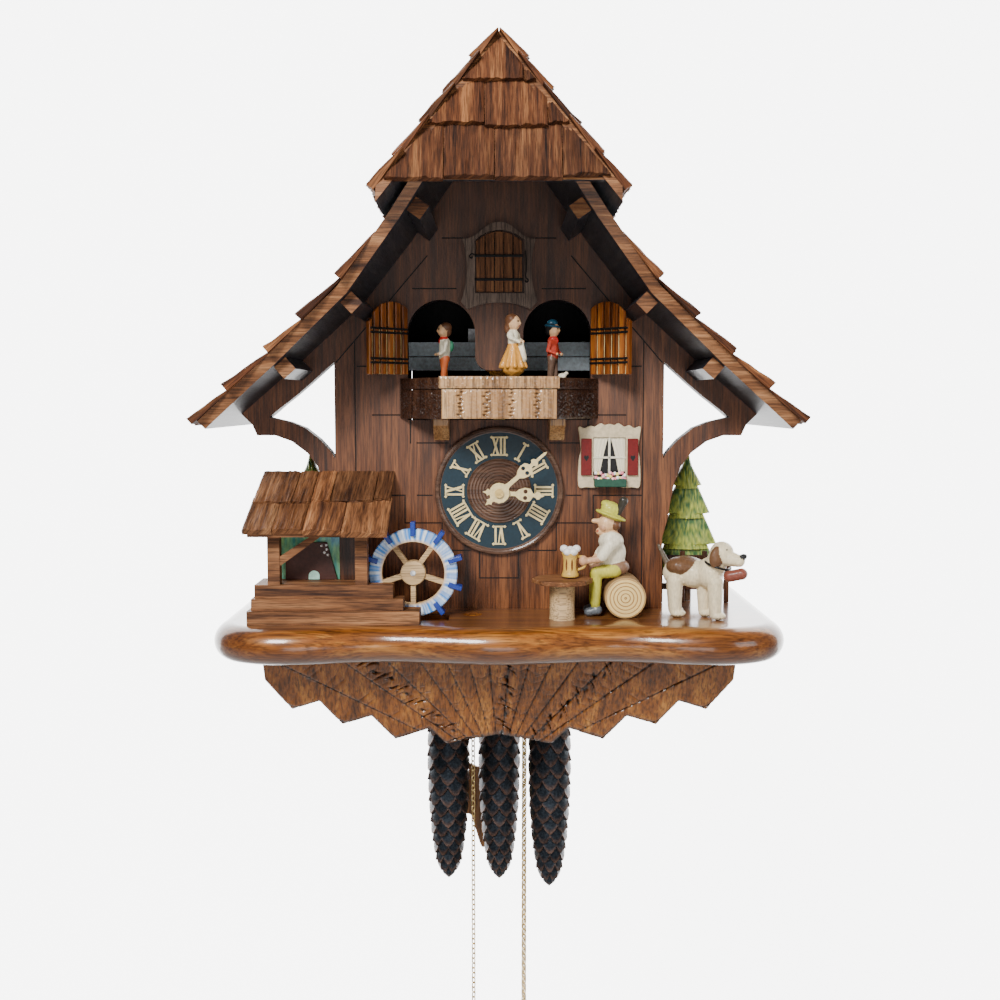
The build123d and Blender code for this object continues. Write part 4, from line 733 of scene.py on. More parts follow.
def scale_height(turn, row):
    """Height and tip wear of the overlapping scales at a turn (in scales) and row position."""
    best, wear = 0.0, 0.0
    for number in (floor(row), floor(row) - 1):
        offset = 0.5 if number % 2 else 0.0
        across = (turn + offset) - floor(turn + offset) - 0.5
        reach = 1.62 - 2.3 * across * across - 0.25 * abs(across)
        share = (row - number) / reach
        if share < 1.0:
            height = 0.15 + 1.25 * share ** 1.4 - 0.9 * across * across
            if height > best:
                best = height
                wear = max(0.0, (share - 0.66) / 0.34)
    return best, wear


def make_cone(number, x, y, bottom):
    """Cast pine cone with rows of pointed scales, coppery where they are rubbed."""
    around, levels = 128, 220
    height = CONE_TOP - bottom
    bag = Bag()
    points, tints = [], []
    for level in range(levels + 1):
        share = level / levels
        radius = cone_radius(share)
        row = share * CONE_ROWS * (1.0 + 0.25 * share)
        for step in range(around):
            angle = 2 * pi * step / around
            relief, wear = scale_height(step * CONE_SCALES / around, row + 0.3)
            fade = min(1.0, share * 14, (1.0 - share) * 9 + 0.25)
            full = radius - 1.5 + 1.75 * relief * fade
            points.append((x + full * cos(angle), y + full * sin(angle), CONE_TOP - share * height))
            worn = wear * (0.75 + 0.5 * noise.noise(Vector((angle * 4, share * 20, number))))
            tints.append((max(0.0, min(1.0, worn)), 0.0, 0.0))
    faces = []
    for level in range(levels):
        for step in range(around):
            a, b = level * around + step, level * around + (step + 1) % around
            faces.append((a, a + around, b + around, b))
    faces.append(tuple(range(around)))
    faces.append(tuple(reversed(range(levels * around, (levels + 1) * around))))
    bag.points, bag.faces, bag.tints, bag.uvs = points, faces, tints, [(0.0, 0.0)] * len(points)
    cone = bag.piece(f"cone_{number}", "iron", "wear")
    smooth(cone, 50)
    hook = loop_wire(f"cone_hook_{number}", [(x, y, CONE_TOP - 1), (x, y, CONE_TOP + 2.5),
                     (x + 1.4, y, CONE_TOP + 4.2), (x, y, CONE_TOP + 6.2), (x - 1.4, y, CONE_TOP + 4.4),
                     (x - 0.3, y, CONE_TOP + 3.0)], 0.55, "steel")
    for piece in (cone, hook):
        finish_piece(piece, f"weight_{number}")
    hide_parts(f"weight_{number}")


def loop_wire(name, points, radius, material, closed=False):
    """Round wire through points, radius in millimetres."""
    curve = bpy.data.curves.new(name, "CURVE")
    curve.dimensions = "3D"
    curve.bevel_depth = radius * MM
    curve.bevel_resolution = 3
    curve.resolution_u = 8
    spline = curve.splines.new("BEZIER")
    spline.bezier_points.add(len(points) - 1)
    spline.use_cyclic_u = closed
    for made, point in zip(spline.bezier_points, points):
        made.co = place(*point)
        made.handle_left_type = made.handle_right_type = "AUTO"
    wire = bpy.data.objects.new(name, curve)
    bpy.context.scene.collection.objects.link(wire)
    curve.materials.append(MATERIALS[material])
    return wire


# ---- Shakes ---------------------------------------------------------------------------
def shake(bag, corner, down, across, length, width, thin, thick, seed, limit=None):
    """One split shake: ridged on top, ragged at its lower end, thicker there."""
    along_steps, cross_steps = 12, 14
    up = across.cross(down)
    if up.z < 0:
        up = -up
    rings, uvs = [], []
    hue = noise.noise(Vector((seed * 7.31, 1.7, 3.3)))
    bright = 0.95 + 0.75 * noise.noise(Vector((seed * 3.17, 8.1, 0.4)))
    tint = (bright * (1 + 0.12 * hue), bright, bright * (1 - 0.15 * hue))
    for i in range(along_steps + 1):
        share = i / along_steps
        low, high = 0.0, width
        if limit:
            low, high = limit(corner, share * length, width)
            if high - low < 1.0:
                if rings:
                    break
                continue
        ring, ring_uv = [], []
        base = thin + (thick - thin) * share
        for j in range(cross_steps + 1):
            v = low + (high - low) * j / cross_steps
            ragged = 1.2 * noise.noise(Vector((v * 0.35, seed * 5.0, 0.0))) if i == along_steps else 0.0
            u = share * length + ragged
            ridge = noise.noise(Vector((v * 0.55 + seed * 9, u * 0.035, seed))) * 1.1
            ridge += noise.noise(Vector((v * 1.9, u * 0.09, seed + 5))) * 0.5
            ridge += noise.noise(Vector((v * 0.2, u * 0.12, seed + 2))) * 0.6
            edge = 0.55 if j in (0, cross_steps) else 0.0
            lift = max(0.35, base - 0.5 + ridge * (0.45 + 0.55 * share) - edge)
            ring.append(corner + down * u + across * v + up * lift)
            ring_uv.append(((v + seed * 31) * MM, (u + seed * 17) * MM))
        for v in (high, low):
            ring.append(corner + down * (share * length) + across * v)
            ring_uv.append(((v + seed * 31 + 3) * MM, (share * length + seed * 17) * MM))
        rings.append(ring)
        uvs.extend(ring_uv)
    if len(rings) < 2:
        return
    count = len(rings[0])
    faces = []
    for i in range(len(rings) - 1):
        for j in range(count):
            a, b = i * count + j, i * count + (j + 1) % count
            faces.append((a, b, b + count, a + count))
    faces.append(tuple(reversed(range(count))))
    faces.append(tuple(range((len(rings) - 1) * count, len(rings) * count)))
    bag.add([point for ring in rings for point in ring], faces, uvs, tint)


def random_edges(start, stop, typical, seed):
    """Ends of boards of uneven width between two positions."""
    edges, position, index = [start], start, 0
    while stop - position > typical * 1.45:
        position += typical * (1.0 + 0.42 * wobble(index + seed * 3.7))
        edges.append(position)
        index += 1
    edges.append(stop)
    return edges


ROOF_UNDER = [(0.0, 297.0), (43.0, 236.5), (52.2, 223.5), (82.0, 185.5), (121.9, 149.3),
              (156.6, 119.5), (165.5, 111.8)]
MAIN_ROWS = [68.0, 84.0, 106.0, 127.0, 149.5, 171.5]
CAP_SLOPE = 1.38
CAP_TOP_Z = 328.0
CAP_EAVE_X = 63.5
HIP_FOOT = 238.0


def roof_top(x):
    """Upper face of the main roof board at x."""
    lifted = [(px + 3.4, pz + 4.6) for px, pz in ROOF_UNDER]
    for (x0, z0), (x1, z1) in zip(lifted, lifted[1:]):
        if x <= x1:
            return z0 + (z1 - z0) * (x - x0) / (x1 - x0)
    (x0, z0), (x1, z1) = lifted[-2:]
    return z0 + (z1 - z0) * (x - x0) / (x1 - x0)


def roof_front_y(z):
    """Front edge of the main roof at height z."""
    return PANEL_Y - 56.0 - 0.31 * (z - 122.0)


def hip_y(z):
    """Outer face of the hip's board at height z."""
    return PANEL_Y - 81.0 - 0.383 * (CAP_TOP_Z - z) + 1.4


def main_shakes(bag, side):
    """Five overlapping rows on one main roof slope."""
    across = Vector((0, 1, 0))
    for row, (x0, x1) in enumerate(zip(MAIN_ROWS, MAIN_ROWS[1:])):
        start = Vector((side * (x0 - 3), 0, roof_top(x0 - 3) + 0.3))
        end = Vector((side * x1, 0, roof_top(x1) + 0.3))
        down = (end - start).normalized()
        front = roof_front_y((start.z + end.z) / 2) - 3
        edges = random_edges(front, -0.5, 21.0, row * 2 + side)
        for index, (y0, y1) in enumerate(zip(edges, edges[1:])):
            seed = row * 37.7 + index * 5.13 + side * 11.0
            reach = (end - start).length + 1.6 * wobble(seed)
            corner = Vector((start.x, y0 + 0.25, start.z))
            shake(bag, corner, down, across, reach, y1 - y0 - 0.5, 1.4, 5.2, seed)


def cap_shakes(bag, side):
    """Overlapping rows on one slope of the cap."""
    across = Vector((0, 1, 0))
    drop = 5.2 * sqrt(1 + CAP_SLOPE ** 2)
    rows = 5
    for row in range(rows):
        x0, x1 = row * CAP_EAVE_X / rows, (row + 1) * CAP_EAVE_X / rows
        start = Vector((side * max(0.2, x0 - 3), 0, CAP_TOP_Z - drop - CAP_SLOPE * max(0.2, x0 - 3)))
        end = Vector((side * x1, 0, CAP_TOP_Z - drop - CAP_SLOPE * x1))
        down = (end - start).normalized()
        front = hip_y((start.z + end.z) / 2) - 4.5
        edges = random_edges(front, -0.5, 22.0, row * 2 + side * 3 + 40)
        for index, (y0, y1) in enumerate(zip(edges, edges[1:])):
            seed = row * 29.3 + index * 6.71 + side * 13.0 + 300
            reach = (end - start).length + 1.5 * wobble(seed)
            corner = Vector((start.x, y0 + 0.25, start.z))
            shake(bag, corner, down, across, reach, y1 - y0 - 0.5, 1.6, 5.0, seed)


def hip_shakes(bag):
    """Three rows on the hip, cut along the cap's slopes."""
    lean = 0.383
    down = Vector((0, -lean, -1)).normalized()
    across = Vector((1, 0, 0))
    drop = 5.2 * sqrt(1 + CAP_SLOPE ** 2) + 3

    def limit(corner, run, width):
        z = corner.z + down.z * run
        half = max(0.0, (CAP_TOP_Z - drop - z) / CAP_SLOPE)
        low, high = max(0.0, -half - corner.x), min(width, half - corner.x)
        return low, high

    tops = [CAP_TOP_Z - 6, 291.0, 266.0, HIP_FOOT]
    for row, (high, low) in enumerate(zip(tops, tops[1:])):
        start_z = high + (3 if row else 0)
        half = (CAP_TOP_Z - drop - low) / CAP_SLOPE
        edges = random_edges(-half - 2, half + 2, 24.0, row + 70)
        for index, (x0, x1) in enumerate(zip(edges, edges[1:])):
            seed = row * 17.9 + index * 4.37 + 700
            length = (start_z - low) * sqrt(1 + lean ** 2) + 1.3 * wobble(seed)
            corner = Vector((x0 + 0.25, hip_y(start_z) + 0.2, start_z))
            shake(bag, corner, down, across, length, x1 - x0 - 0.5, 1.4, 4.6, seed, limit)


def mill_roof_z(distance):
    """Underside of the mill's roof at a distance in front of the panel."""
    return 82.0 - 32.5 * distance / 61.0


def mill_shakes(bag):
    """Two rows on the mill's roof, running down towards the viewer."""
    for row, (near, far) in enumerate(((0.5, 33.0), (28.5, 61.0))):
        start = Vector((0, PANEL_Y - near, mill_roof_z(near) + 2.6 + row * 1.2))
        end = Vector((0, PANEL_Y - far, mill_roof_z(far) + 2.6))
        down = (end - start).normalized()
        edges = random_edges(-143.5 - row, -63.5 + row, 19.0, row + 90)
        for index, (x0, x1) in enumerate(zip(edges, edges[1:])):
            seed = row * 13.1 + index * 3.77 + 900
            reach = (end - start).length + 1.8 * wobble(seed)
            corner = Vector((x0 + 0.25, start.y, start.z))
            shake(bag, corner, down, Vector((1, 0, 0)), reach, x1 - x0 - 0.5, 1.2, 4.2, seed)


def make_shakes():
    """Every shake of the roofs as two pieces, the house's and the mill's."""
    house = Bag()
    for side in (-1, 1):
        main_shakes(house, side)
        cap_shakes(house, side)
    hip_shakes(house)
    roof = house.piece("roof_shakes", "shake")
    finish_piece(roof, "case", ["shingles"])
    mill = Bag()
    mill_shakes(mill)
    finish_piece(mill.piece("mill_shakes", "mill_shake"), "case")
    smooth(roof, 30)


# ---- Plates, boxes and rings ----------------------------------------------------------
def plate(name, loops, front, thickness, material, rounded=0.25):
    """Flat plate facing the viewer; loops are (x, z) outlines, holes included."""
    curve = bpy.data.curves.new(name, "CURVE")
    curve.dimensions = "2D"
    curve.fill_mode = "BOTH"
    curve.extrude = max(0.01, thickness / 2 - rounded)
    curve.bevel_depth = rounded
    curve.bevel_resolution = 1
    curve.offset = -rounded
    for loop in loops:
        spline = curve.splines.new("POLY")
        spline.use_cyclic_u = True
        spline.points.add(len(loop) - 1)
        for made, (x, z) in zip(spline.points, loop):
            made.co = (x, z, 0.0, 1.0)
    flat = bpy.data.objects.new(name, curve)
    bpy.context.scene.collection.objects.link(flat)
    bpy.context.view_layer.update()
    mesh = bpy.data.meshes.new_from_object(flat)
    bpy.data.objects.remove(flat)
    for vertex in mesh.vertices:
        x, z, depth = vertex.co
        vertex.co = place(x, front + thickness / 2 - depth, z)
    mesh.name = name
    mesh.materials.clear()
    return add_object(name, mesh, material)


def circle(cx, cz, radius, count=48):
    """Points of a circle in the XZ plane."""
    return [(cx + radius * cos(2 * pi * i / count), cz + radius * sin(2 * pi * i / count))
            for i in range(count)]


def soft_line(points, steps=8, closed=True):
    """A smooth loop through points."""
    count = len(points)
    line = []
    for index in range(count if closed else count - 1):
        p0, p1 = points[index - 1], points[index]
        p2, p3 = points[(index + 1) % count], points[(index + 2) % count]
        for step in range(steps):
            t = step / steps
            line.append(tuple(0.5 * (2 * b + (c - a) * t + (2 * a - 5 * b + 4 * c - d) * t * t
                                     + (3 * b - a - 3 * c + d) * t ** 3)
                              for a, b, c, d in zip(p0, p1, p2, p3)))
    return line


def add_box(bag, x0, x1, y0, y1, z0, z1, tint=(1.0, 1.0, 1.0)):
    """One box, its corners in millimetres."""
    points = [(x, y, z) for z in (z0, z1) for y in (y0, y1) for x in (x0, x1)]
    faces = [(0, 2, 3, 1), (4, 5, 7, 6), (0, 1, 5, 4), (1, 3, 7, 5), (3, 2, 6, 7), (2, 0, 4, 6)]
    bag.add(points, faces, None, tint)


def boxes(name, rows, material, rounded=0.3, layer="tint"):
    """Several boxes as one piece with softened edges."""
    bag = Bag()
    for row in rows:
        add_box(bag, *row)
    piece = bag.piece(name, material, layer)
    if rounded:
        bevel(piece, rounded)
    return piece


def turned(name, profile, centre, material, around=96, axis="Y"):
    """A turned piece: profile is (radius, distance towards the viewer or up)."""
    cx, cy, cz = centre
    bag = Bag()
    points, faces = [], []
    for radius, reach in profile:
        for step in range(around):
            angle = 2 * pi * step / around
            if axis == "Y":
                points.append((cx + radius * cos(angle), cy - reach, cz + radius * sin(angle)))
            else:
                points.append((cx + radius * cos(angle), cy + radius * sin(angle), cz + reach))
    for level in range(len(profile) - 1):
        for step in range(around):
            a, b = level * around + step, level * around + (step + 1) % around
            faces.append((a, b, b + around, a + around))
    faces.append(tuple(reversed(range(around))))
    faces.append(tuple(range((len(profile) - 1) * around, len(profile) * around)))
    bag.add(points, faces)
    piece = bag.piece(name, material)
    smooth(piece, 35)
    return piece


# ---- Apron ----------------------------------------------------------------------------
APRON_HALF = [(0, -75.8), (32.3, -82.4), (42.1, -71.7), (63.6, -79.2), (77.5, -63.4),
              (95.5, -69.1), (108.6, -53.4), (125.5, -59), (140.8, -39.2), (137, -24)]
APRON_TOP = -21.6
APRON_FRONT = PANEL_Y - 17.0
APRON_LEAN = 0.2867
APRON_DEPTH = 12.4 * 0.96


def apron_bottom(x):
    """Lower edge of the apron at x."""
    x = abs(x)
    for (x0, z0), (x1, z1) in zip(APRON_HALF, APRON_HALF[1:]):
        if x0 <= x <= x1:
            return z0 + (z1 - z0) * (x - x0) / (x1 - x0)
    return APRON_HALF[-1][1]


FAN_CENTRE_Z = -100.0
FAN_PLANK = 0.165
FAN_COLUMNS = (-0.83, 0.09, 0.76)


def carved_relief(x, z):
    """Depth of the fanned planks, feathers and gouges: (cut, painted shade in the cuts)."""
    spread = atan2(x, z - FAN_CENTRE_Z)
    reach = hypot(x, z - FAN_CENTRE_Z)
    plank = spread / FAN_PLANK + 0.5
    part = plank - floor(plank)
    gap = min(part, 1 - part) * FAN_PLANK * reach
    groove = exp(-(gap / 0.55) ** 2)
    cut = 0.8 * groove + 0.5 * (part - 0.5)
    # dark is the painted shade in the grooves, feathers and gouges.
    dark = 0.9 * groove
    sway = noise.noise(Vector((x * 0.05, z * 0.05, 2.0)))
    barb = sin(reach * 1.15 - abs(part - 0.5) * 7.0 + 3.0 * sway)
    patch = noise.noise(Vector((floor(plank) * 3.3, reach * 0.09, 5.0)))
    feather = max(0.0, barb) ** 3 * min(1.0, max(0.0, patch + 0.35) * 2.0)
    cut += 0.45 * feather
    dark += 0.55 * feather
    for column in FAN_COLUMNS:
        across = (spread - column) * reach - 2.6 * sin(reach * 0.5)
        near = exp(-(across / 3.0) ** 2)
        bite = max(0.0, sin(reach * 1.35 + across * 0.9)) ** 2
        cut += 1.7 * near * bite
        dark += 1.2 * near * bite
    return cut, min(1.0, dark)


def make_apron():
    """Carved apron with its planks, feathers and three zigzag columns of gouges."""
    half = 141.2
    columns, rows = 352, 84
    points, tints = [], []
    for row in range(rows + 1):
        for column in range(columns + 1):
            x = -half + 2 * half * column / columns
            bottom = apron_bottom(x)
            z = APRON_TOP + (bottom - APRON_TOP) * row / rows
            cut, dark = carved_relief(x, z)
            edge = min(row, rows - row) / 4.0
            rim = max(0.0, 1.0 - edge) * 0.8
            back = (APRON_TOP - z) * APRON_LEAN
            points.append((x, APRON_FRONT + back - APRON_DEPTH + cut + rim, z + 0.3))
            # Red carries the painted shade in the cuts; green paints shade along the top and bottom rows.
            tints.append((dark, max(0.0, 1 - edge), 0.0))
    bag = Bag()
    bag.add(points, [tuple(reversed(face)) for face in grid_faces(columns, rows)])
    bag.tints = tints
    count = len(points)
    behind = [(x, APRON_FRONT + (APRON_TOP - z) * APRON_LEAN, z) for x, _, z in points]
    bag.points.extend(behind)
    bag.faces.extend(grid_faces(columns, rows, count))
    bag.uvs.extend([(0.0, 0.0)] * count)
    bag.tints.extend([(0.1, 0.0, 0.0)] * count)
    rim = [row * (columns + 1) for row in range(rows + 1)]
    rim += [rows * (columns + 1) + column for column in range(1, columns + 1)]
    rim += [row * (columns + 1) + columns for row in range(rows - 1, -1, -1)]
    rim += list(range(columns - 1, 0, -1))
    for a, b in zip(rim, rim[1:] + rim[:1]):
        bag.faces.append((a, b, b + count, a + count))
    piece = bag.piece("carved_apron", "carved_fan", "carving")
    smooth(piece, 60)
    finish_piece(piece, "case", ["apron"])


# ---- Dial, numerals and hands ---------------------------------------------------------
NUMERALS = ["XII", "I", "II", "III", "IIII", "V", "VI", "VII", "VIII", "IX", "X", "XI"]
LETTER_WIDTHS = {"I": 2.2, "V": 4.4, "X": 4.4}
NUMERAL_R = 27.2
NUMERAL_HALF = 5.7
MINUTE_ANGLE = 49.0
HOUR_ANGLE = 94.0
HAND_HUB_Y = PANEL_Y - 20.0


def make_dial():
    """Turned dial: brown rim, dark chapter ring and a ridged brown centre."""
    rim = [(39.2, 0.0), (39.2, 2.9), (38.6, 3.7), (37.4, 4.0), (36.5, 3.6), (36.1, 2.6)]
    ring = turned("dial_rim", rim + [(35.0, 2.4), (35.0, 0.0)], (0, PANEL_Y, DIAL_Z), "dial_brown")
    chapter = turned("dial_chapter_ring", [(36.3, 0.3), (36.3, 2.5), (19.3, 2.5), (19.3, 0.3)],
                     (0, PANEL_Y, DIAL_Z), "teal")
    profile = [(19.6, 0.3), (19.6, 3.3), (19.2, 3.7)]
    radius = 18.8
    while radius > 7.0:
        profile += [(radius, 3.6), (radius - 0.5, 3.15), (radius - 1.0, 3.55)]
        radius -= 1.9
    profile += [(5.0, 3.5), (4.3, 3.3), (4.3, 0.3)]
    centre = turned("dial_centre", profile, (0, PANEL_Y, DIAL_Z), "dial_brown")
    for piece in (ring, chapter, centre):
        finish_piece(piece, "case")
    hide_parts("dial")


def bar_loop(x0, z0, x1, z1, width):
    """A bar as a four-cornered loop."""
    run = hypot(x1 - x0, z1 - z0)
    nx, nz = (z1 - z0) / run * width / 2, -(x1 - x0) / run * width / 2
    return [(x0 + nx, z0 + nz), (x1 + nx, z1 + nz), (x1 - nx, z1 - nz), (x0 - nx, z0 - nz)]


def letter_bars(letter, middle):
    """Strokes of one letter as (x0, z0, x1, z1, width)."""
    h = NUMERAL_HALF - 0.5
    if letter == "I":
        return [(middle, -h, middle, h, 1.25)]
    if letter == "V":
        return [(middle - 1.5, h, middle, -h, 1.45), (middle + 1.5, h, middle, -h, 0.8)]
    return [(middle - 1.5, h, middle + 1.5, -h, 1.45), (middle + 1.5, h, middle - 1.5, -h, 0.8)]


def numeral_loops(text, turn):
    """Loops of one numeral, standing at its hour."""
    width = sum(LETTER_WIDTHS[letter] for letter in text)
    bars, x = [], -width / 2
    for letter in text:
        bars += letter_bars(letter, x + LETTER_WIDTHS[letter] / 2)
        x += LETTER_WIDTHS[letter]
    for z in (NUMERAL_HALF - 0.35, 0.35 - NUMERAL_HALF):
        bars.append((-width / 2 - 0.25, z, width / 2 + 0.25, z, 0.9))
    loops = [bar_loop(*bar) for bar in bars]
    diamond = 0.95
    for place_x in (-width / 2 - 0.2, width / 2 + 0.2):
        for z in (NUMERAL_HALF - 0.35, 0.35 - NUMERAL_HALF):
            loops.append([(place_x - diamond, z), (place_x, z + diamond), (place_x + diamond, z),
                          (place_x, z - diamond)])
    angle = radians(turn)
    turned_loops = []
    for loop in loops:
        turned_loops.append([(px * cos(angle) + (pz + NUMERAL_R) * sin(angle),
                              DIAL_Z - px * sin(angle) + (pz + NUMERAL_R) * cos(angle))
                             for px, pz in loop])
    return turned_loops


def make_numerals():
    """Twelve ivory numerals, glued around the chapter ring."""
    bag = Bag()
    for hour, text in enumerate(NUMERALS):
        for number, loop in enumerate(numeral_loops(text, hour * 30)):
            front = PANEL_Y - 3.3 - 0.02 * (number % 3)
            points = [(x, front, z) for x, z in loop] + [(x, PANEL_Y - 2.4, z) for x, z in loop]
            bag.add(points, BAR_FACES)
    piece = bag.piece("ivory_numerals", "ivory")
    fix_normals(piece)
    finish_piece(piece, "case", ["numerals"])


def fix_normals(piece):
    """Make every face look outwards."""
    mesh = bmesh.new()
    mesh.from_mesh(piece.data)
    bmesh.ops.recalc_face_normals(mesh, faces=mesh.faces)
    mesh.to_mesh(piece.data)
    mesh.free()


def mirrored_loop(half):
    """A closed loop from its right half."""
    return half + [(-x, z) for x, z in reversed(half) if abs(x) > 0.01]


def hand_loops(length, boss_at, boss_r, tail):
    """Outline and piercings of an ornate hand pointing up from the origin."""
    half = [(0, -tail), (0.9, -tail + 2.2), (2.2, -tail + 3.0), (1.3, -tail + 4.4), (1.6, -5.6),
            (4.4, -4.2), (5.8, -1.6), (5.9, 1.6), (4.6, 4.2), (1.9, 5.8), (1.3, 7.4),
            (1.3, boss_at - boss_r - 1.2), (boss_r * 0.75, boss_at - boss_r * 0.75),
            (boss_r, boss_at), (boss_r * 0.9, boss_at + boss_r * 0.8),
            (1.1, boss_at + boss_r + 0.8), (1.0, boss_at + boss_r + 2.0), (2.5, boss_at + boss_r + 3.2),
            (2.2, boss_at + boss_r + 4.6), (0.9, boss_at + boss_r + 5.6), (0.8, length - 1.5),
            (0, length)]
    holes = []
    for side in (-1, 1):
        holes.append(circle(side * boss_r * 0.46, boss_at + boss_r * 0.1, boss_r * 0.3, 16))
    holes.append(circle(0, 0, 1.65, 20))
    return [mirrored_loop(half)] + holes


def make_hand(name, length, boss_at, boss_r, tail, angle, front, thickness, body, node):
    """One pierced ivory hand at its angle."""
    turn = radians(angle)
    loops = []
    for loop in hand_loops(length, boss_at, boss_r, tail):
        loops.append([(x * cos(turn) + z * sin(turn), DIAL_Z - x * sin(turn) + z * cos(turn))
                      for x, z in loop])
    hand = plate(name, loops, front, thickness, "ivory", 0.12)
    finish_piece(hand, body, [node])


def make_hands():
    """Minute and hour hands."""
    make_hand("ivory_minute_hand", 37.5, 20.0, 4.0, 11.0, MINUTE_ANGLE, HAND_HUB_Y - 1.7, 1.0,
              "minute_train", "minute_hand")
    make_hand("ivory_hour_hand", 27.0, 15.2, 4.2, 10.0, HOUR_ANGLE, HAND_HUB_Y + 0.4, 1.0,
              "hour_train", "hour_hand")


# ---- Doors and shutters ---------------------------------------------------------------
def make_cuckoo_door():
    """Five planks with two iron straps."""
    sill, spring, crown = 192.8, 222.5, 228.4
    edges = [-13.9, -8.4, -2.8, 2.8, 8.4, 13.9]

    def top(x):
        return spring + (crown - spring) * (1 - (x / 13.9) ** 2)

    planks = Bag()
    for x0, x1 in zip(edges, edges[1:]):
        loop = [(x0 + 0.25, sill), (x1 - 0.25, sill), (x1 - 0.25, top(x1 - 0.25)),
                ((x0 + x1) / 2, top((x0 + x1) / 2)), (x0 + 0.25, top(x0 + 0.25))]
        points = [(x, PANEL_Y - 3.2, z) for x, z in loop] + [(x, PANEL_Y - 0.6, z) for x, z in loop]
        count = len(loop)
        sides = [(i, (i + 1) % count, (i + 1) % count + count, i + count) for i in range(count)]
        planks.add(points, [tuple(range(count)), tuple(reversed(range(count, 2 * count)))] + sides)
    door = planks.piece("cuckoo_door_planks", "panel_plain")
    fix_normals(door)
    bevel(door, 0.25)
    # Black sheet inside the planks' thickness: painted shade seen through the gaps between the planks.
    rows = [(-13.4, 13.4, PANEL_Y - 1.2, PANEL_Y - 0.7, sill + 0.2, spring - 0.3)]
    gap_shade = boxes("cuckoo_door_gap_shade", rows, "black", 0)
    straps = boxes("cuckoo_door_straps", [(-14.6, 14.4, PANEL_Y - 4.1, PANEL_Y - 3.0, z - 0.75, z + 0.75)
                                          for z in (200.0, 214.0)], "black", 0.2)
    hook = loop_wire("cuckoo_door_hook", [(-14.2, PANEL_Y - 3.9, 214.4), (-16.6, PANEL_Y - 4.1, 214.9),
                     (-17.6, PANEL_Y - 4.1, 213.6), (-16.8, PANEL_Y - 4.1, 212.6),
                     (-15.8, PANEL_Y - 4.0, 213.4)], 0.35, "black")
    for piece in (door, gap_shade, straps, hook):
        finish_piece(piece, "cuckoo_door")
    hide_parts("cuckoo_door")
    wire = loop_wire("door_wire", [(15.9, PANEL_Y - 3.6, 217.0), (16.2, PANEL_Y - 3.6, 206.0),
                     (16.2, PANEL_Y - 3.6, 201.0), (17.4, PANEL_Y - 3.6, 199.4),
                     (16.4, PANEL_Y - 3.6, 198.4), (15.6, PANEL_Y - 3.6, 199.4)], 0.35, "black")
    finish_piece(wire, "case")


def make_arch_shutters():
    """Two slatted leaves with rounded tops, standing open."""
    turn = radians(45.0)
    slats, bands, rims, backs = Bag(), Bag(), Bag(), Bag()

    def leaf_point(side, u, depth, z):
        x = 56.4 + u * cos(turn) + depth * sin(turn)
        y = PANEL_Y - 0.4 - u * sin(turn) + depth * cos(turn)
        return (side * x, y, z)

    def top(u):
        return 172.0 + 15.0 * sqrt(max(0.0, 1 - ((u - 12.0) / 17.4) ** 2))

    def bar(bag, side, u0, u1, d0, d1, z0, z_a, z_b, tint=(1.0, 1.0, 1.0)):
        corners = [(u0, d0, z0), (u1, d0, z0), (u1, d0, z_b), (u0, d0, z_a)]
        back = [(u, d1, z) for u, _, z in corners]
        points = [leaf_point(side, *corner) for corner in corners + back]
        bag.add(points, BAR_FACES, None, tint)

    for side in (-1, 1):
        for slat in range(5):
            u0 = 0.6 + slat * 5.5
            u1 = u0 + 3.9
            bar(slats, side, u0, u1, -2.6, -0.9, 143.4, top(u0) - 0.6, top(u1) - 0.6)
        bar(rims, side, 28.0, 30.2, -2.7, 0.3, 143.0, 176.0, 174.0)
        for z in (149.5, 151.9, 167.2, 169.6):
            bar(bands, side, 0.2, 29.4, -3.2, -2.4, z, z + 1.3, z + 1.3)
        bar(backs, side, 0.6, 28.2, -0.9, 0.1, 143.4, 171.0, 171.0)
    pieces = [slats.piece("shutter_slats", "amber_wood"), bands.piece("shutter_bands", "black"),
              rims.piece("shutter_rims", "amber_wood"), backs.piece("shutter_backs", "ivory")]
    for piece in pieces:
        fix_normals(piece)
        bevel(piece, 0.3)
        finish_piece(piece, "case")
    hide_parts("arch_shutters")


# ---- Balcony --------------------------------------------------------------------------
BALCONY_D = 40.0
BALCONY_HALF = 33.0
WING_X = 60.0


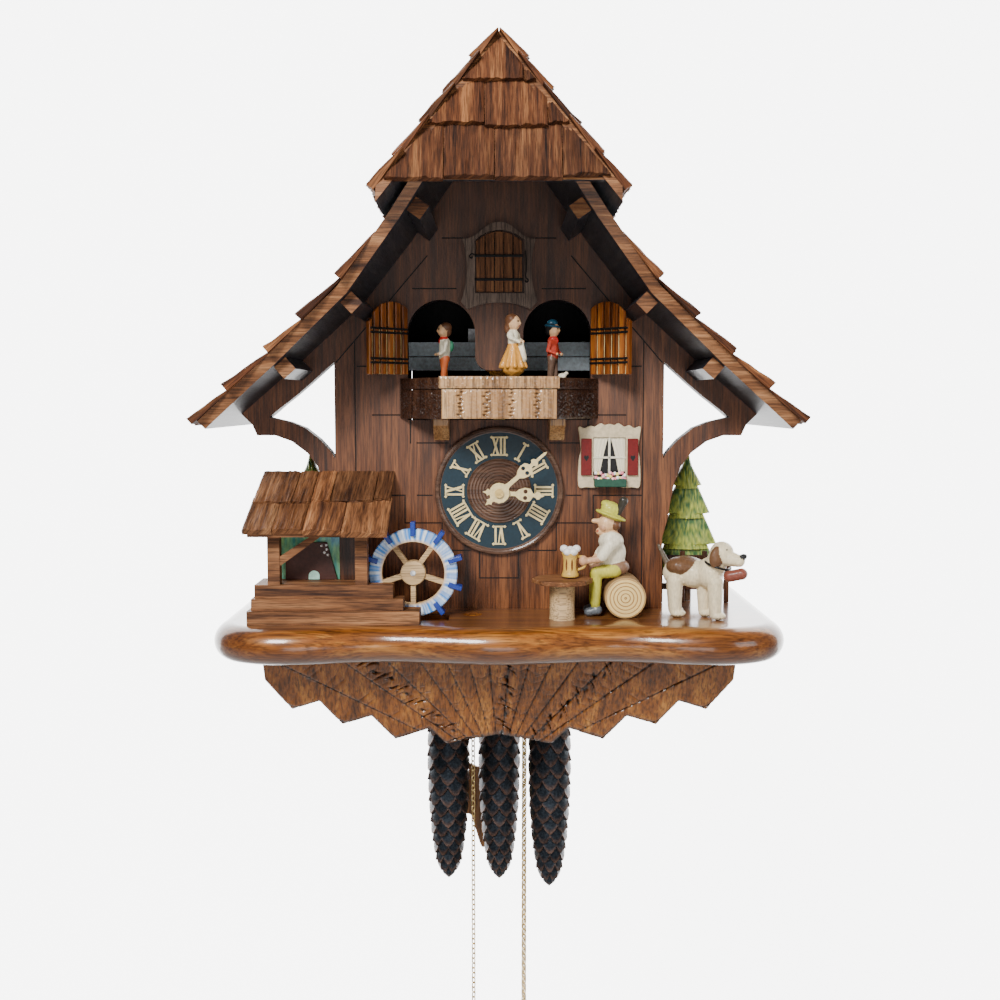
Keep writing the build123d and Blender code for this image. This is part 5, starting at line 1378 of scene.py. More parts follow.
def rough_panel(bag, start, end, z0, z1, depth, seed, rough, gouges=0):
    """A carved board between two plan points, its relief towards the viewer."""
    (xa, ya), (xb, yb) = start, end
    run = hypot(xb - xa, yb - ya)
    nx, ny = (yb - ya) / run, -(xb - xa) / run
    if ny > 0:
        nx, ny = -nx, -ny
    columns, rows = int(run / 0.5), int((z1 - z0) / 0.5)
    points, tints = [], []
    for row in range(rows + 1):
        z = z0 + (z1 - z0) * row / rows
        for column in range(columns + 1):
            u = run * column / columns
            border = min(column, columns - column, row, rows - row)
            relief = rough * noise.noise(Vector((u * 0.75, z * 0.75, seed)))
            relief += 0.5 * rough * noise.noise(Vector((u * 1.9, z * 1.9, seed + 4)))
            dark = 0.0
            for gouge in range(gouges):
                middle = run * (gouge + 0.72) / (gouges + 0.5)
                line = 2.4 * abs(((z - z0) / 2.6) % 2 - 1) - 1.2
                near = exp(-((u - middle - line) / 1.5) ** 2) * (0.5 + 0.5 * sin(z * 2.9 + gouge))
                relief -= 1.1 * near
                # dark is the painted shade in the gouges, carried in the tint's red.
                dark = max(dark, near)
            lift = 0.15 * min(border, 3) + relief * min(1.0, border / 3)
            points.append((xa + (xb - xa) * u / run + nx * lift,
                           ya + (yb - ya) * u / run + ny * lift, z))
            tints.append((dark, 0.0, 0.0))
    count = len(points)
    bag_start = len(bag.points)
    bag.add(points, grid_faces(columns, rows))
    bag.tints[bag_start:] = tints
    rim = list(range(columns + 1)) + [row * (columns + 1) + columns for row in range(1, rows + 1)]
    rim += [rows * (columns + 1) + column for column in range(columns - 1, -1, -1)]
    rim += [row * (columns + 1) for row in range(rows - 1, 0, -1)]
    back = [(points[i][0] - nx * depth, points[i][1] - ny * depth, points[i][2]) for i in rim]
    bag.add(back, [], None, (0.0, 0.0, 0.0))
    base = bag_start + count
    for index in range(len(rim)):
        following = (index + 1) % len(rim)
        bag.faces.append((bag_start + rim[index], base + index, base + following,
                          bag_start + rim[following]))
    bag.faces.append(tuple(reversed(range(base, base + len(rim)))))


def make_balcony():
    """Canted balcony: rough dark wings, a light carved centre and light rail."""
    front = PANEL_Y - BALCONY_D
    left, right = (-BALCONY_HALF, front), (BALCONY_HALF, front)
    wings = Bag()
    rough_panel(wings, (-WING_X, PANEL_Y), left, 117.0, 134.0, 3.0, 1.0, 0.9)
    rough_panel(wings, right, (WING_X, PANEL_Y), 117.0, 134.0, 3.0, 2.0, 0.9)
    rough_panel(wings, (-WING_X, PANEL_Y), left, 134.4, 141.0, 3.2, 3.0, 0.7)
    rough_panel(wings, right, (WING_X, PANEL_Y), 134.4, 141.0, 3.2, 4.0, 0.7)
    centre = Bag()
    rough_panel(centre, left, right, 117.4, 134.2, 3.0, 5.0, 0.25, 4)
    rail = Bag()
    rough_panel(rail, (-BALCONY_HALF - 1.5, front - 0.9), (BALCONY_HALF + 1.5, front - 0.9), 134.8,
                141.6, 4.2, 6.0, 0.3)
    floor_bag = Bag()
    add_box(floor_bag, -34, 34, front + 3, PANEL_Y - 0.2, 117.2, 122.0)
    pieces = [wings.piece("balcony_wings", "char_wood", "carving"),
              centre.piece("balcony_centre", "tan_wood", "carving"),
              rail.piece("balcony_rail", "tan_wood", "carving"),
              floor_bag.piece("balcony_floor", "dark")]
    for piece in pieces:
        fix_normals(piece)
        smooth(piece, 50)
        finish_piece(piece, "case")
    bag = Bag()
    for side in (-1, 1):
        profile = [(PANEL_Y, 117), (PANEL_Y, 104), (PANEL_Y - 9, 104), (PANEL_Y - 22, 113),
                   (PANEL_Y - 22, 117)]
        points = [(side * 34.5 + dx, y, z) for dx in (-4.6, 4.6) for y, z in profile]
        sides = [(i, (i + 1) % 5, (i + 1) % 5 + 5, i + 5) for i in range(5)]
        bag.add(points, [tuple(range(5)), tuple(range(9, 4, -1))] + sides, None, (0.0, 0.0, 0.0))
    bracket = bag.piece("balcony_brackets", "tan_wood", "carving")
    fix_normals(bracket)
    bevel(bracket, 0.5)
    finish_piece(bracket, "case")
    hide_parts("balcony")


# ---- Window ---------------------------------------------------------------------------
def make_window():
    """Cream window board with mullions, curtains, shutters and a flower box."""
    half = [(0, 113.6), (3, 113.0), (5.5, 114.0), (9, 112.0), (12, 112.8), (15, 111.2), (18.8, 112),
            (18.4, 106), (17.4, 98), (18.6, 92), (18.8, 76.0), (14, 75.0), (9, 74.8), (4, 75.6),
            (0, 75.2)]
    outline = [(67 + x, z) for x, z in half] + [(67 - x, z) for x, z in reversed(half) if x > 0]
    pane = [(57.2, 82.0), (76.8, 82.0), (76.8, 105.4), (57.2, 105.4)]
    board = plate("window_board", [soft_line(outline, 4), pane], PANEL_Y - 2.6, 2.6, "cream", 0.4)
    dark = boxes("window_dark", [(56.8, 77.2, PANEL_Y - 0.7, PANEL_Y - 0.2, 81.5, 106)], "black", 0)
    bars = boxes("window_mullions", [(66.3, 67.7, PANEL_Y - 2.0, PANEL_Y - 0.9, 82, 105.4),
                                     (57.2, 76.8, PANEL_Y - 2.0, PANEL_Y - 0.9, 92.6, 93.8)], "white", 0.2)
    curtains = Bag()
    for side in (-1, 1):
        columns, rows = 24, 16
        points = []
        for row in range(rows + 1):
            share = row / rows
            width = 9.0 * (1 - 0.55 * share ** 0.8)
            for column in range(columns + 1):
                u = column / columns
                x = 67 + side * (9.6 - width * u)
                fold = 0.35 * sin(u * 22 + share * 2.0)
                points.append((x, PANEL_Y - 1.25 + fold * 0.5, 105.2 - 20.5 * share))
        curtains.add(points, grid_faces(columns, rows))
    curtain = curtains.piece("window_curtains", "curtain_paint")
    smooth(curtain, 80)
    leaves, hearts = Bag(), Bag()
    for x in (52.9, 81.1):
        add_box(leaves, x - 3.2, x + 3.2, PANEL_Y - 4.4, PANEL_Y - 2.6, 82.5, 104.8)
        heart = [(x, 91.0), (x + 1.5, 93.2), (x + 1.3, 94.4), (x + 0.5, 94.7), (x, 94.0),
                 (x - 0.5, 94.7), (x - 1.3, 94.4), (x - 1.5, 93.2)]
        hearts.add([(px, PANEL_Y - 4.45, pz) for px, pz in heart], [tuple(range(8))])
    shutters = leaves.piece("window_shutters", "red_paint")
    bevel(shutters, 0.3)
    heart_piece = hearts.piece("window_hearts", "black")
    box = boxes("flower_box", [(57.6, 77.0, PANEL_Y - 8, PANEL_Y - 2.6, 75.6, 80.6)], "green_dark", 0.5)
    flowers = Bag()
    colours = [(0.85, 0.25, 0.30), (0.95, 0.92, 0.88), (0.93, 0.75, 0.20), (0.90, 0.45, 0.50)]
    for index in range(26):
        x = 58.6 + 17.4 * (index % 13) / 12
        z = 81.0 + (2.2 if index > 12 else 0.3) + 0.8 * wobble(index)
        y = PANEL_Y - 6.6 + (1.8 if index > 12 else 0.0) + 0.5 * wobble(index + 9)
        add_ball(flowers, (x, y, z), 1.15, colours[index % 4])
    for index in range(18):
        x = 58.2 + 18.0 * index / 17
        add_ball(flowers, (x, PANEL_Y - 5.4, 80.4 + 0.5 * wobble(index)), 1.3, (0.04, 0.13, 0.05))
    blossoms = flowers.piece("flower_blossoms", "paint", "paint")
    smooth(blossoms, 60)
    for piece in (board, dark, bars, curtain, shutters, heart_piece, box, blossoms):
        finish_piece(piece, "case")
    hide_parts("window")


def add_ball(bag, centre, radius, colour, stretch=(1.0, 1.0, 1.0), rings=6, around=9):
    """A small painted ball."""
    points, faces = [], []
    for ring in range(1, rings):
        angle = pi * ring / rings
        for step in range(around):
            turn = 2 * pi * step / around
            points.append((centre[0] + radius * stretch[0] * sin(angle) * cos(turn),
                           centre[1] + radius * stretch[1] * sin(angle) * sin(turn),
                           centre[2] + radius * stretch[2] * cos(angle)))
    points.append((centre[0], centre[1], centre[2] + radius * stretch[2]))
    points.append((centre[0], centre[1], centre[2] - radius * stretch[2]))
    top, low = len(points) - 2, len(points) - 1
    for ring in range(rings - 2):
        for step in range(around):
            a, b = ring * around + step, ring * around + (step + 1) % around
            faces.append((a, a + around, b + around, b))
    last = (rings - 2) * around
    for step in range(around):
        following = (step + 1) % around
        faces.append((top, step, following))
        faces.append((low, last + following, last + step))
    bag.add(points, faces, None, colour)


# ---- Mill -----------------------------------------------------------------------------
WHEEL_X = -50.5
WHEEL_Z = 27.0
WHEEL_Y = PANEL_Y - 30.0


def make_mill_wheel():
    """Painted wheel: streaked blue rim, wooden spokes and dark blue paddles."""
    rim = Bag()
    around = 180
    points, tints = [], []
    for radius, front in ((18.4, 2.5), (20.4, 2.5), (25.4, 2.5), (26.0, 1.9), (26.0, -1.9),
                          (25.4, -2.5), (18.4, -2.5)):
        for step in range(around):
            angle = 2 * pi * step / around
            points.append((WHEEL_X + radius * cos(angle), WHEEL_Y - front, WHEEL_Z + radius * sin(angle)))
            streak = noise.noise(Vector((step * 0.45, 0.0, 3.0)))
            pale = min(1.0, max(0.0, 0.42 + 2.4 * streak))
            blue = (0.02 + 0.72 * pale, 0.20 + 0.58 * pale, 0.58 + 0.22 * pale)
            tints.append(blue if radius > 19 else (0.62, 0.42, 0.22))
    count = 7
    faces = []
    for level in range(count):
        for step in range(around):
            following = (step + 1) % around
            a, b = level * around + step, level * around + following
            c, d = ((level + 1) % count) * around + following, ((level + 1) % count) * around + step
            faces.append((a, b, c, d))
    rim.add(points, faces)
    rim.tints = tints
    ring = rim.piece("mill_wheel_rim", "paint", "paint")
    smooth(ring, 40)
    hub_profile = [(2.0, -2.6), (7.0, -2.5), (7.4, -2.0), (7.4, 2.9), (6.9, 3.5), (0.2, 3.6)]
    hub = turned("mill_wheel_hub", hub_profile, (WHEEL_X, WHEEL_Y, WHEEL_Z), "tan_plain", 48)
    spokes, paddles = Bag(), Bag()
    for number in range(5):
        wheel_bar(spokes, 36 + 72 * number, 5.5, 20.8, 1.5, -1.9, 2.0)
    for number in range(10):
        wheel_bar(paddles, 36 * number, 21.8, 30.0, 1.4, -4.5, 4.5)
    spoke_piece = spokes.piece("mill_wheel_spokes", "tan_plain")
    paddle_piece = paddles.piece("mill_wheel_paddles", "blue_paint")
    for piece in (ring, hub, spoke_piece, paddle_piece):
        fix_normals(piece)
        finish_piece(piece, "mill_wheel")
    bevel(spoke_piece, 0.3)
    bevel(paddle_piece, 0.35)
    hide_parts("mill_wheel")
    axle = turned("mill_wheel_axle", [(2.0, -45.0), (2.0, 2.5), (1.6, 3.9), (0.2, 4.0)],
                  (WHEEL_X, WHEEL_Y, WHEEL_Z), "steel", 24)
    finish_piece(axle, "mill_wheel")


def wheel_bar(bag, angle, near, far, half, back, front):
    """A bar pointing outwards from the mill wheel's centre."""
    turn = radians(angle)
    points = []
    for y in (WHEEL_Y - front, WHEEL_Y - back):
        for side, reach in ((-half, near), (half, near), (half, far), (-half, far)):
            points.append((WHEEL_X + reach * sin(turn) + side * cos(turn), y,
                           WHEEL_Z + reach * cos(turn) - side * sin(turn)))
    bag.add(points, BAR_FACES)


def make_mill_scene():
    """Painted landscape and the miller's house on the board behind the posts."""
    front = PANEL_Y - 26.2
    x0, x1, z0, z1 = -130.6, -84.5, 22.5, 61.0
    columns, rows = 92, 78
    bag = Bag()
    points, tints = [], []
    for row in range(rows + 1):
        for column in range(columns + 1):
            x = x0 + (x1 - x0) * column / columns
            z = z0 + (z1 - z0) * row / rows
            points.append((x, front, z))
            wave = noise.noise(Vector((x * 0.12, z * 0.10, 1.0)))
            fine = noise.noise(Vector((x * 0.5, z * 0.12, 7.0)))
            sky = max(0.0, min(1.0, (z - 44 + 0.5 * (x + 100) + 10 * wave) / 14))
            green = (0.16 + 0.18 * fine, 0.42 + 0.22 * fine, 0.24 + 0.1 * wave)
            blue = (0.16, 0.42 + 0.2 * fine, 0.62 + 0.2 * wave)
            tints.append(tuple(g + (b - g) * sky for g, b in zip(green, blue)))
    bag.add(points, grid_faces(columns, rows))
    bag.tints = tints
    scene_piece = bag.piece("mill_landscape", "paint", "paint")
    house = plate("mill_house", [[(-126, 22.4), (-95.5, 22.4), (-101.5, 44.5), (-116, 44.5), (-126, 37)]],
                  front - 2.2, 2.0, "mill_brown", 0.2)
    dots = Bag()
    for x, z in ((-104.6, 42.6), (-101.9, 43.0), (-101.6, 40.4), (-103.0, 38.6), (-101.0, 37.2)):
        add_ball(dots, (x, front - 2.3, z), 0.75, (0.9, 0.9, 0.86))
    arch = [(-112.4, 22.6)] + [(-109.2 + 3.2 * cos(a), 24.8 + 3.0 * sin(a))
                               for a in (pi * s / 10 for s in range(10, -1, -1))] + [(-106.0, 22.6)]
    water = plate("mill_arch", [arch], front - 2.5, 0.5, "mint", 0.05)
    dot_piece = dots.piece("mill_dots", "paint", "paint")
    # Dark board at the landscape's right edge: painted shade inside the mill.
    shade = boxes("mill_shade_board", [(-94.0, -83.6, front - 3.0, front - 0.3, 22.4, 60)], "dark", 0.2)
    for piece in (scene_piece, house, water, dot_piece, shade):
        finish_piece(piece, "case")


# ---- Log, table and mug ---------------------------------------------------------------
def make_log():
    """Log with rings on its end grain."""
    bark = [(12.1, -28.0), (12.25, -20.0), (11.95, -10.0), (12.2, -1.0), (11.9, 0.0)]
    radius = 11.6
    while radius > 0.8:
        bark += [(radius, 0.15), (radius - 0.7, 0.2), (radius - 0.95, -0.05), (radius - 1.2, 0.15)]
        radius -= 2.0
    bark.append((0.2, 0.1))
    log = turned("log", bark, (LOG_X, PANEL_Y - 34.0, LOG_Z), "log_rings", 72)
    finish_piece(log, "case", ["log_seat"])


def make_table():
    """Eight-sided table on a round leg."""
    bag = Bag()
    corners = [(TABLE_X + 18 * cos(2 * pi * i / 8), TABLE_Y + 18 * sin(2 * pi * i / 8)) for i in range(8)]
    points = [(x, y, z) for z in (21.4, 24.0) for x, y in corners]
    sides = [(i, (i + 1) % 8, (i + 1) % 8 + 8, i + 8) for i in range(8)]
    bag.add(points, [tuple(reversed(range(8))), tuple(range(8, 16))] + sides)
    top = bag.piece("table_top", "mill")
    bevel(top, 0.35)
    leg = turned("table_leg", [(7.8, 0.02), (7.4, 1.0), (7.3, 10), (7.6, 20), (7.6, 21.5)],
                 (TABLE_X, TABLE_Y, 0), "tan_plain", 14, "Z")
    for piece in (top, leg):
        finish_piece(piece, "case")
    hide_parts("table")


# ---- Inside the house -----------------------------------------------------------------
def make_interior():
    """Pale planks that show through the arches."""
    planks = boxes("inner_planks", [(-88.4, 88.4, -62.6, -62.05, 147.3, 156.0),
                                    (-88.4, 88.4, -62.6, -62.05, 156.6, 165.8)], "pale_plank", 0.2)
    finish_piece(planks, "case")


# ---- Carved figures -------------------------------------------------------------------
SKIN = (0.70, 0.42, 0.22)
SKIN_SHADE = (0.55, 0.30, 0.17)
WHITE_PAINT = (0.78, 0.70, 0.52)
CREAM_PAINT = (0.74, 0.62, 0.40)
HAIR_BROWN = (0.13, 0.055, 0.025)
BLACK_PAINT = (0.010, 0.009, 0.009)


class Carving:
    """Overlapping balls and limbs that become one carved, painted solid."""

    def __init__(self, origin=(0.0, 0.0, 0.0), facing=0.0, size=1.0):
        self.origin = Vector(origin)
        self.turn = Matrix.Rotation(radians(facing), 3, "Z")
        self.size = size
        self.parts = []
        self.spots = []

    def world(self, point):
        return self.origin + self.turn @ (Vector(point) * self.size)

    def ball(self, centre, radii, colour, tilt=(0.0, 0.0, 0.0)):
        """An ellipsoid with its own tilt in degrees."""
        turn = self.turn @ Euler([radians(part) for part in tilt]).to_matrix()
        self.parts.append(("ball", self.world(centre), Vector(radii) * self.size, turn, colour))

    def limb(self, start, end, near, far, colour):
        """A tapering round bar with round ends."""
        self.parts.append(("limb", self.world(start), self.world(end),
                           (near * self.size, far * self.size), colour))

    def spot(self, centre, radius, colour):
        """Paint only, within a ball."""
        self.spots.append((self.world(centre), radius * self.size, colour))

    def distance(self, part, points):
        """Rough signed distances of points from a part's surface."""
        if part[0] == "ball":
            local = (points - np.array(part[1])) @ np.array(part[3])
            radii = np.array(part[2])
            return (np.linalg.norm(local / radii, axis=1) - 1.0) * radii.min()
        start, along, (near, far) = np.array(part[1]), np.array(part[2] - part[1]), part[3]
        share = np.clip((points - start) @ along / (along @ along), 0.0, 1.0)
        gap = points - start - share[:, None] * along
        return np.linalg.norm(gap, axis=1) - (near + (far - near) * share)

    def colours(self, points):
        """Each point takes the colour of the nearest part, or of a spot it lies in."""
        nearest = np.full(len(points), 1e9)
        found = np.zeros((len(points), 4))
        for part in self.parts:
            gap = self.distance(part, points)
            closer = gap < nearest
            nearest[closer] = gap[closer]
            found[closer] = (*part[-1], 1.0)
        for centre, radius, colour in self.spots:
            found[np.linalg.norm(points - np.array(centre), axis=1) < radius] = (*colour, 1.0)
        return found

    def blank(self):
        """Separate balls for every part, before they are carved into one."""
        blank = bmesh.new()
        for part in self.parts:
            if part[0] == "ball":
                _, centre, radii, turn, _ = part
                matrix = Matrix.Translation(centre) @ turn.to_4x4() @ Matrix.Diagonal((*radii, 1.0))
                bmesh.ops.create_icosphere(blank, subdivisions=3, radius=1.0, matrix=matrix)
                continue
            _, start, end, (near, far), _ = part
            steps = max(3, int((end - start).length / (0.35 * max(near, far))) + 1)
            for step in range(steps + 1):
                share = step / steps
                matrix = Matrix.Translation(start.lerp(end, share))
                bmesh.ops.create_icosphere(blank, subdivisions=2, radius=near + (far - near) * share,
                                           matrix=matrix)
        mesh = bpy.data.meshes.new("blank")
        blank.to_mesh(mesh)
        blank.free()
        return mesh

    def piece(self, name, voxel=0.45, rough=0.12, smoothing=4):
        """Carve, soften, cut lightly with a knife and paint."""
        body = bpy.data.objects.new(name, self.blank())
        bpy.context.scene.collection.objects.link(body)
        remesh = body.modifiers.new("carve", "REMESH")
        remesh.mode = "VOXEL"
        remesh.voxel_size = voxel
        soften = body.modifiers.new("soften", "SMOOTH")
        soften.iterations = smoothing
        bpy.context.view_layer.update()
        mesh = bpy.data.meshes.new_from_object(body.evaluated_get(bpy.context.evaluated_depsgraph_get()))
        bpy.data.objects.remove(body)
        paint_layer = mesh.color_attributes.new("paint", "FLOAT_COLOR", "POINT")
        points = np.array([vertex.co for vertex in mesh.vertices])
        paint_layer.data.foreach_set("color", self.colours(points).ravel())
        for vertex in mesh.vertices:
            point = vertex.co.copy()
            chip = rough * noise.noise(point * 0.8) + 0.5 * rough * noise.noise(point * 2.1)
            vertex.co = place(*(point + vertex.normal * chip))
        mesh.shade_smooth()
        mesh.name = name
        return add_object(name, mesh, "paint")


def walking_legs(carving, colour, shoe, stride=1.2):
    """Two legs in trousers with shoes."""
    for side in (-1, 1):
        carving.ball((side * 1.9, -0.8 - side * stride, 1.1), (1.5, 2.5, 1.2), shoe)
        carving.limb((side * 1.8, -side * stride, 2.0), (side * 1.9, 0, 13.0), 1.6, 2.5, colour)
    carving.ball((0, 0.2, 14.0), (4.1, 3.2, 3.4), colour)


def head_and_hair(carving, height, hair):
    """Head with hair, nose, eyes and mouth; the face looks ahead."""
    carving.limb((0, 0, height - 5), (0, -0.2, height - 2), 1.5, 1.5, SKIN)
    carving.ball((0, -0.5, height), (3.5, 3.7, 4.2), SKIN)
    carving.ball((0, 0.9, height + 1.6), (3.9, 3.9, 3.5), hair)
    carving.ball((0, 2.0, height - 0.6), (3.4, 2.6, 3.2), hair)
    carving.ball((0, -4.2, height - 0.3), (0.6, 0.8, 0.7), SKIN)
    for side in (-1, 1):
        carving.spot((side * 1.4, -3.7, height + 0.7), 0.55, BLACK_PAINT)
    carving.spot((0, -3.9, height - 2.0), 0.6, (0.5, 0.09, 0.06))


def make_boy(name, origin, facing, shirt, trousers, scarf, pack, hat):
    """Walking boy with scarf; with a pack or a hat."""
    boy = Carving(origin, facing, 1.0)
    walking_legs(boy, trousers, HAIR_BROWN)
    boy.limb((0, 0, 15.5), (0, 0.2, 24.0), 3.5, 3.3, shirt)
    boy.ball((0, 0.1, 23.0), (4.6, 2.9, 2.9), shirt)
    for side in (-1, 1):
        boy.limb((side * 4.3, 0, 23.6), (side * 5.2, -1.2 * side, 18.6), 1.4, 1.2, shirt)
        boy.limb((side * 5.2, -1.2 * side, 18.6), (side * 4.2, -3.6, 16.8), 1.1, 0.9, shirt)
        boy.ball((side * 3.9, -4.2, 16.6), (1.0, 1.1, 1.0), SKIN)
    boy.ball((0, -0.3, 26.0), (3.0, 2.9, 1.2), scarf)
    boy.ball((0, -3.0, 24.4), (0.9, 0.6, 1.5), scarf)
    head_and_hair(boy, 31.0, HAIR_BROWN if not hat else BLACK_PAINT)
    if pack:
        boy.ball((0, 4.1, 21.5), (2.8, 1.9, 3.4), pack)
    if hat:
        boy.ball((0, 0.2, 33.4), (5.2, 5.2, 0.8), hat, (8, 0, 0))
        boy.ball((0, 0.4, 35.2), (3.3, 3.3, 2.4), hat)
    return boy.piece(name, 0.42)


def make_girl(name, origin, facing):
    """Girl in a flared ochre skirt, white blouse and apron."""
    girl = Carving(origin, facing, 1.06)
    ochre, brown = (0.58, 0.26, 0.045), (0.17, 0.075, 0.035)
    for side in (-1, 1):
        girl.ball((side * 2.0, -0.8, 1.0), (1.4, 2.6, 1.1), brown)
        girl.limb((side * 1.9, 0, 1.5), (side * 1.7, 0, 9.0), 1.3, 1.6, SKIN)
    girl.limb((0, 0, 8.5), (0, 0, 20.0), 6.8, 3.1, ochre)
    for fold in range(10):
        angle = 2 * pi * fold / 10
        girl.limb((6.9 * cos(angle), 6.9 * sin(angle), 8.0), (3.3 * cos(angle), 3.3 * sin(angle), 18.0),
                  1.3, 0.6, ochre)
    girl.limb((1.2, -4.4, 20.0), (1.4, -5.4, 12.5), 1.6, 2.2, WHITE_PAINT)
    girl.limb((0, 0, 20.0), (0, 0, 25.5), 3.0, 3.2, WHITE_PAINT)
    for side in (-1, 1):
        girl.ball((side * 4.0, -0.2, 25.0), (2.0, 1.9, 2.3), WHITE_PAINT)
        girl.limb((side * 4.6, -0.8, 23.6), (side * 2.2, -4.6, 21.4), 1.2, 1.0, WHITE_PAINT)
        girl.ball((side * 1.6, -5.0, 21.6), (1.2, 1.1, 1.1), SKIN)
    head_and_hair(girl, 32.0, HAIR_BROWN)
    girl.ball((0, 3.0, 29.0), (3.3, 2.2, 3.6), HAIR_BROWN)
    girl.ball((0, 1.0, 35.2), (3.4, 3.0, 1.6), brown)
    return girl.piece(name, 0.42)


DANCER_ANGLES = [-78.0, 14.0, 72.0, 180.0]
TURN_Y = -112.0
FIGURE_R = 34.0
FIGURE_FOOT = 139.0


def make_dancers():
    """Four figures on pedestals on the turntable."""
    spots = [(FIGURE_R * sin(radians(angle)), TURN_Y - FIGURE_R * cos(radians(angle)), FIGURE_FOOT)
             for angle in DANCER_ANGLES]
    figures = [
        make_boy("dancer_left", spots[0], -72, WHITE_PAINT, (0.55, 0.12, 0.035), (0.60, 0.03, 0.02),
                 (0.05, 0.26, 0.14), None),
        make_girl("dancer_front", spots[1], 62),
        make_boy("dancer_right", spots[2], 66, (0.50, 0.05, 0.025), (0.13, 0.075, 0.05),
                 (0.58, 0.03, 0.025), None, (0.02, 0.085, 0.14)),
        make_girl("dancer_back", spots[3], -60),
    ]
    lamb = Carving((spots[2][0] + 5.5, spots[2][1] - 3.0, FIGURE_FOOT), 60)
    lamb.ball((0, 0, 3.4), (1.7, 2.8, 1.8), WHITE_PAINT)
    lamb.ball((0, -2.8, 5.0), (1.1, 1.4, 1.2), WHITE_PAINT)
    for x, y in ((-0.9, -1.6), (0.9, -1.6), (-0.9, 1.6), (0.9, 1.6)):
        lamb.limb((x, y, 0.4), (x, y, 3.0), 0.6, 0.7, WHITE_PAINT)
    figures.append(lamb.piece("dancer_lamb", 0.4, 0.1, 2))
    colours = ["green_grey", "black", "green_grey", "black"]
    for index, ((x, y, z), material) in enumerate(zip(spots, colours)):
        profile = [(5.2, 126.6), (5.4, 127.2), (5.2, 128.2), (3.2, 129.0), (3.2, z - 5), (6.0, z - 4.2),
                   (6.2, z - 2.6), (6.0, z - 0.4), (5.6, z + 0.2), (0.2, z + 0.3)]
        figures.append(turned(f"dancer_pedestal_{index + 1}", profile, (x, y, 0), material, 36, "Z"))
    for piece in figures:
        finish_piece(piece, "turntable")
    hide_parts("dancers")


SIT_Y = PANEL_Y - 22.0
ARM_Y = SIT_Y - 11.2


def make_drinker():
    """Seated man in a white shirt and a yellow-green hat, looking to the left."""
    man = Carving()
    hat, brush = (0.52, 0.50, 0.07), (0.035, 0.030, 0.022)
    trousers, leather = (0.50, 0.46, 0.06), (0.22, 0.12, 0.07)
    y = SIT_Y
    man.ball((66.8, y, 37.0), (8.6, 7.6, 10.2), WHITE_PAINT, (0, 8, 0))
    man.ball((66.5, y, 44.5), (7.6, 8.2, 6.0), WHITE_PAINT)
    man.ball((69.0, y, 29.2), (8.6, 7.6, 5.6), leather)
    man.limb((69, y, 46.5), (64.5, y, 51.5), 3.6, 3.2, SKIN)
    man.ball((64.2, y, 55.2), (5.6, 4.9, 5.4), SKIN)
    man.ball((59.8, y, 50.4), (2.6, 2.6, 2.3), SKIN)
    man.limb((60.2, y, 56.8), (56.0, y, 56.6), 1.7, 1.5, SKIN)
    man.ball((61.6, y - 2.2, 53.0), (2.2, 2.6, 2.2), SKIN_SHADE)
    man.ball((69.0, y, 54.4), (3.2, 5.0, 3.6), HAIR_BROWN)
    man.ball((66.2, y, 60.0), (9.8, 8.4, 1.7), hat, (0, 20, 0))
    man.ball((66.4, y, 63.6), (6.2, 5.8, 4.6), hat, (0, 20, 0))
    man.ball((64.4, y, 66.4), (4.2, 4.4, 2.4), hat, (0, 20, 0))
    man.limb((70.5, y - 3.0, 61.5), (73.4, y - 3.4, 68.8), 1.6, 2.8, brush)
    for side in (-1, 1):
        hip_y, knee_y = y + side * 4.2, y + side * 5.0
        man.limb((68, hip_y, 27.6), (57.6, knee_y, 26.4), 4.6, 3.9, trousers if side < 0 else leather)
        man.limb((57.6, knee_y, 26.0), (57.0, knee_y, 8.5), 3.6, 3.2, trousers)
        man.limb((58.4, knee_y, 4.0), (52.8, knee_y, 2.9), 3.0, 2.6, (0.10, 0.11, 0.12))
    man.limb((67, y + 7.6, 45), (60, y + 9.4, 36), 3.2, 2.6, WHITE_PAINT)
    man.limb((60, y + 9.4, 35.6), (55.5, y + 6.0, 30.5), 2.2, 2.0, SKIN)
    man.spot((59.6, y - 3.9, 56.6), 0.75, BLACK_PAINT)
    man.spot((57.9, y - 2.0, 50.9), 1.0, (0.42, 0.10, 0.05))
    body = man.piece("drinker_body", 0.5, 0.22, 3)
    finish_piece(body, "case", ["drinker"])
    arm = Carving()
    arm.ball((66.0, ARM_Y + 2.4, 45.6), (5.4, 3.2, 5.8), WHITE_PAINT)
    arm.limb((65.0, ARM_Y + 1.2, 43.5), (60.4, ARM_Y, 37.0), 4.0, 3.4, WHITE_PAINT)
    arm.limb((60.0, ARM_Y, 35.6), (51.4, ARM_Y, 34.2), 2.5, 1.9, SKIN_SHADE)
    arm.ball((49.2, ARM_Y, 34.4), (2.7, 2.5, 3.2), SKIN_SHADE)
    sleeve = arm.piece("drinker_sleeve", 0.5, 0.2, 3)
    mug = make_mug()
    for piece in [sleeve] + mug:
        finish_piece(piece, "drinker_arm")
    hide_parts("drinker_arm")


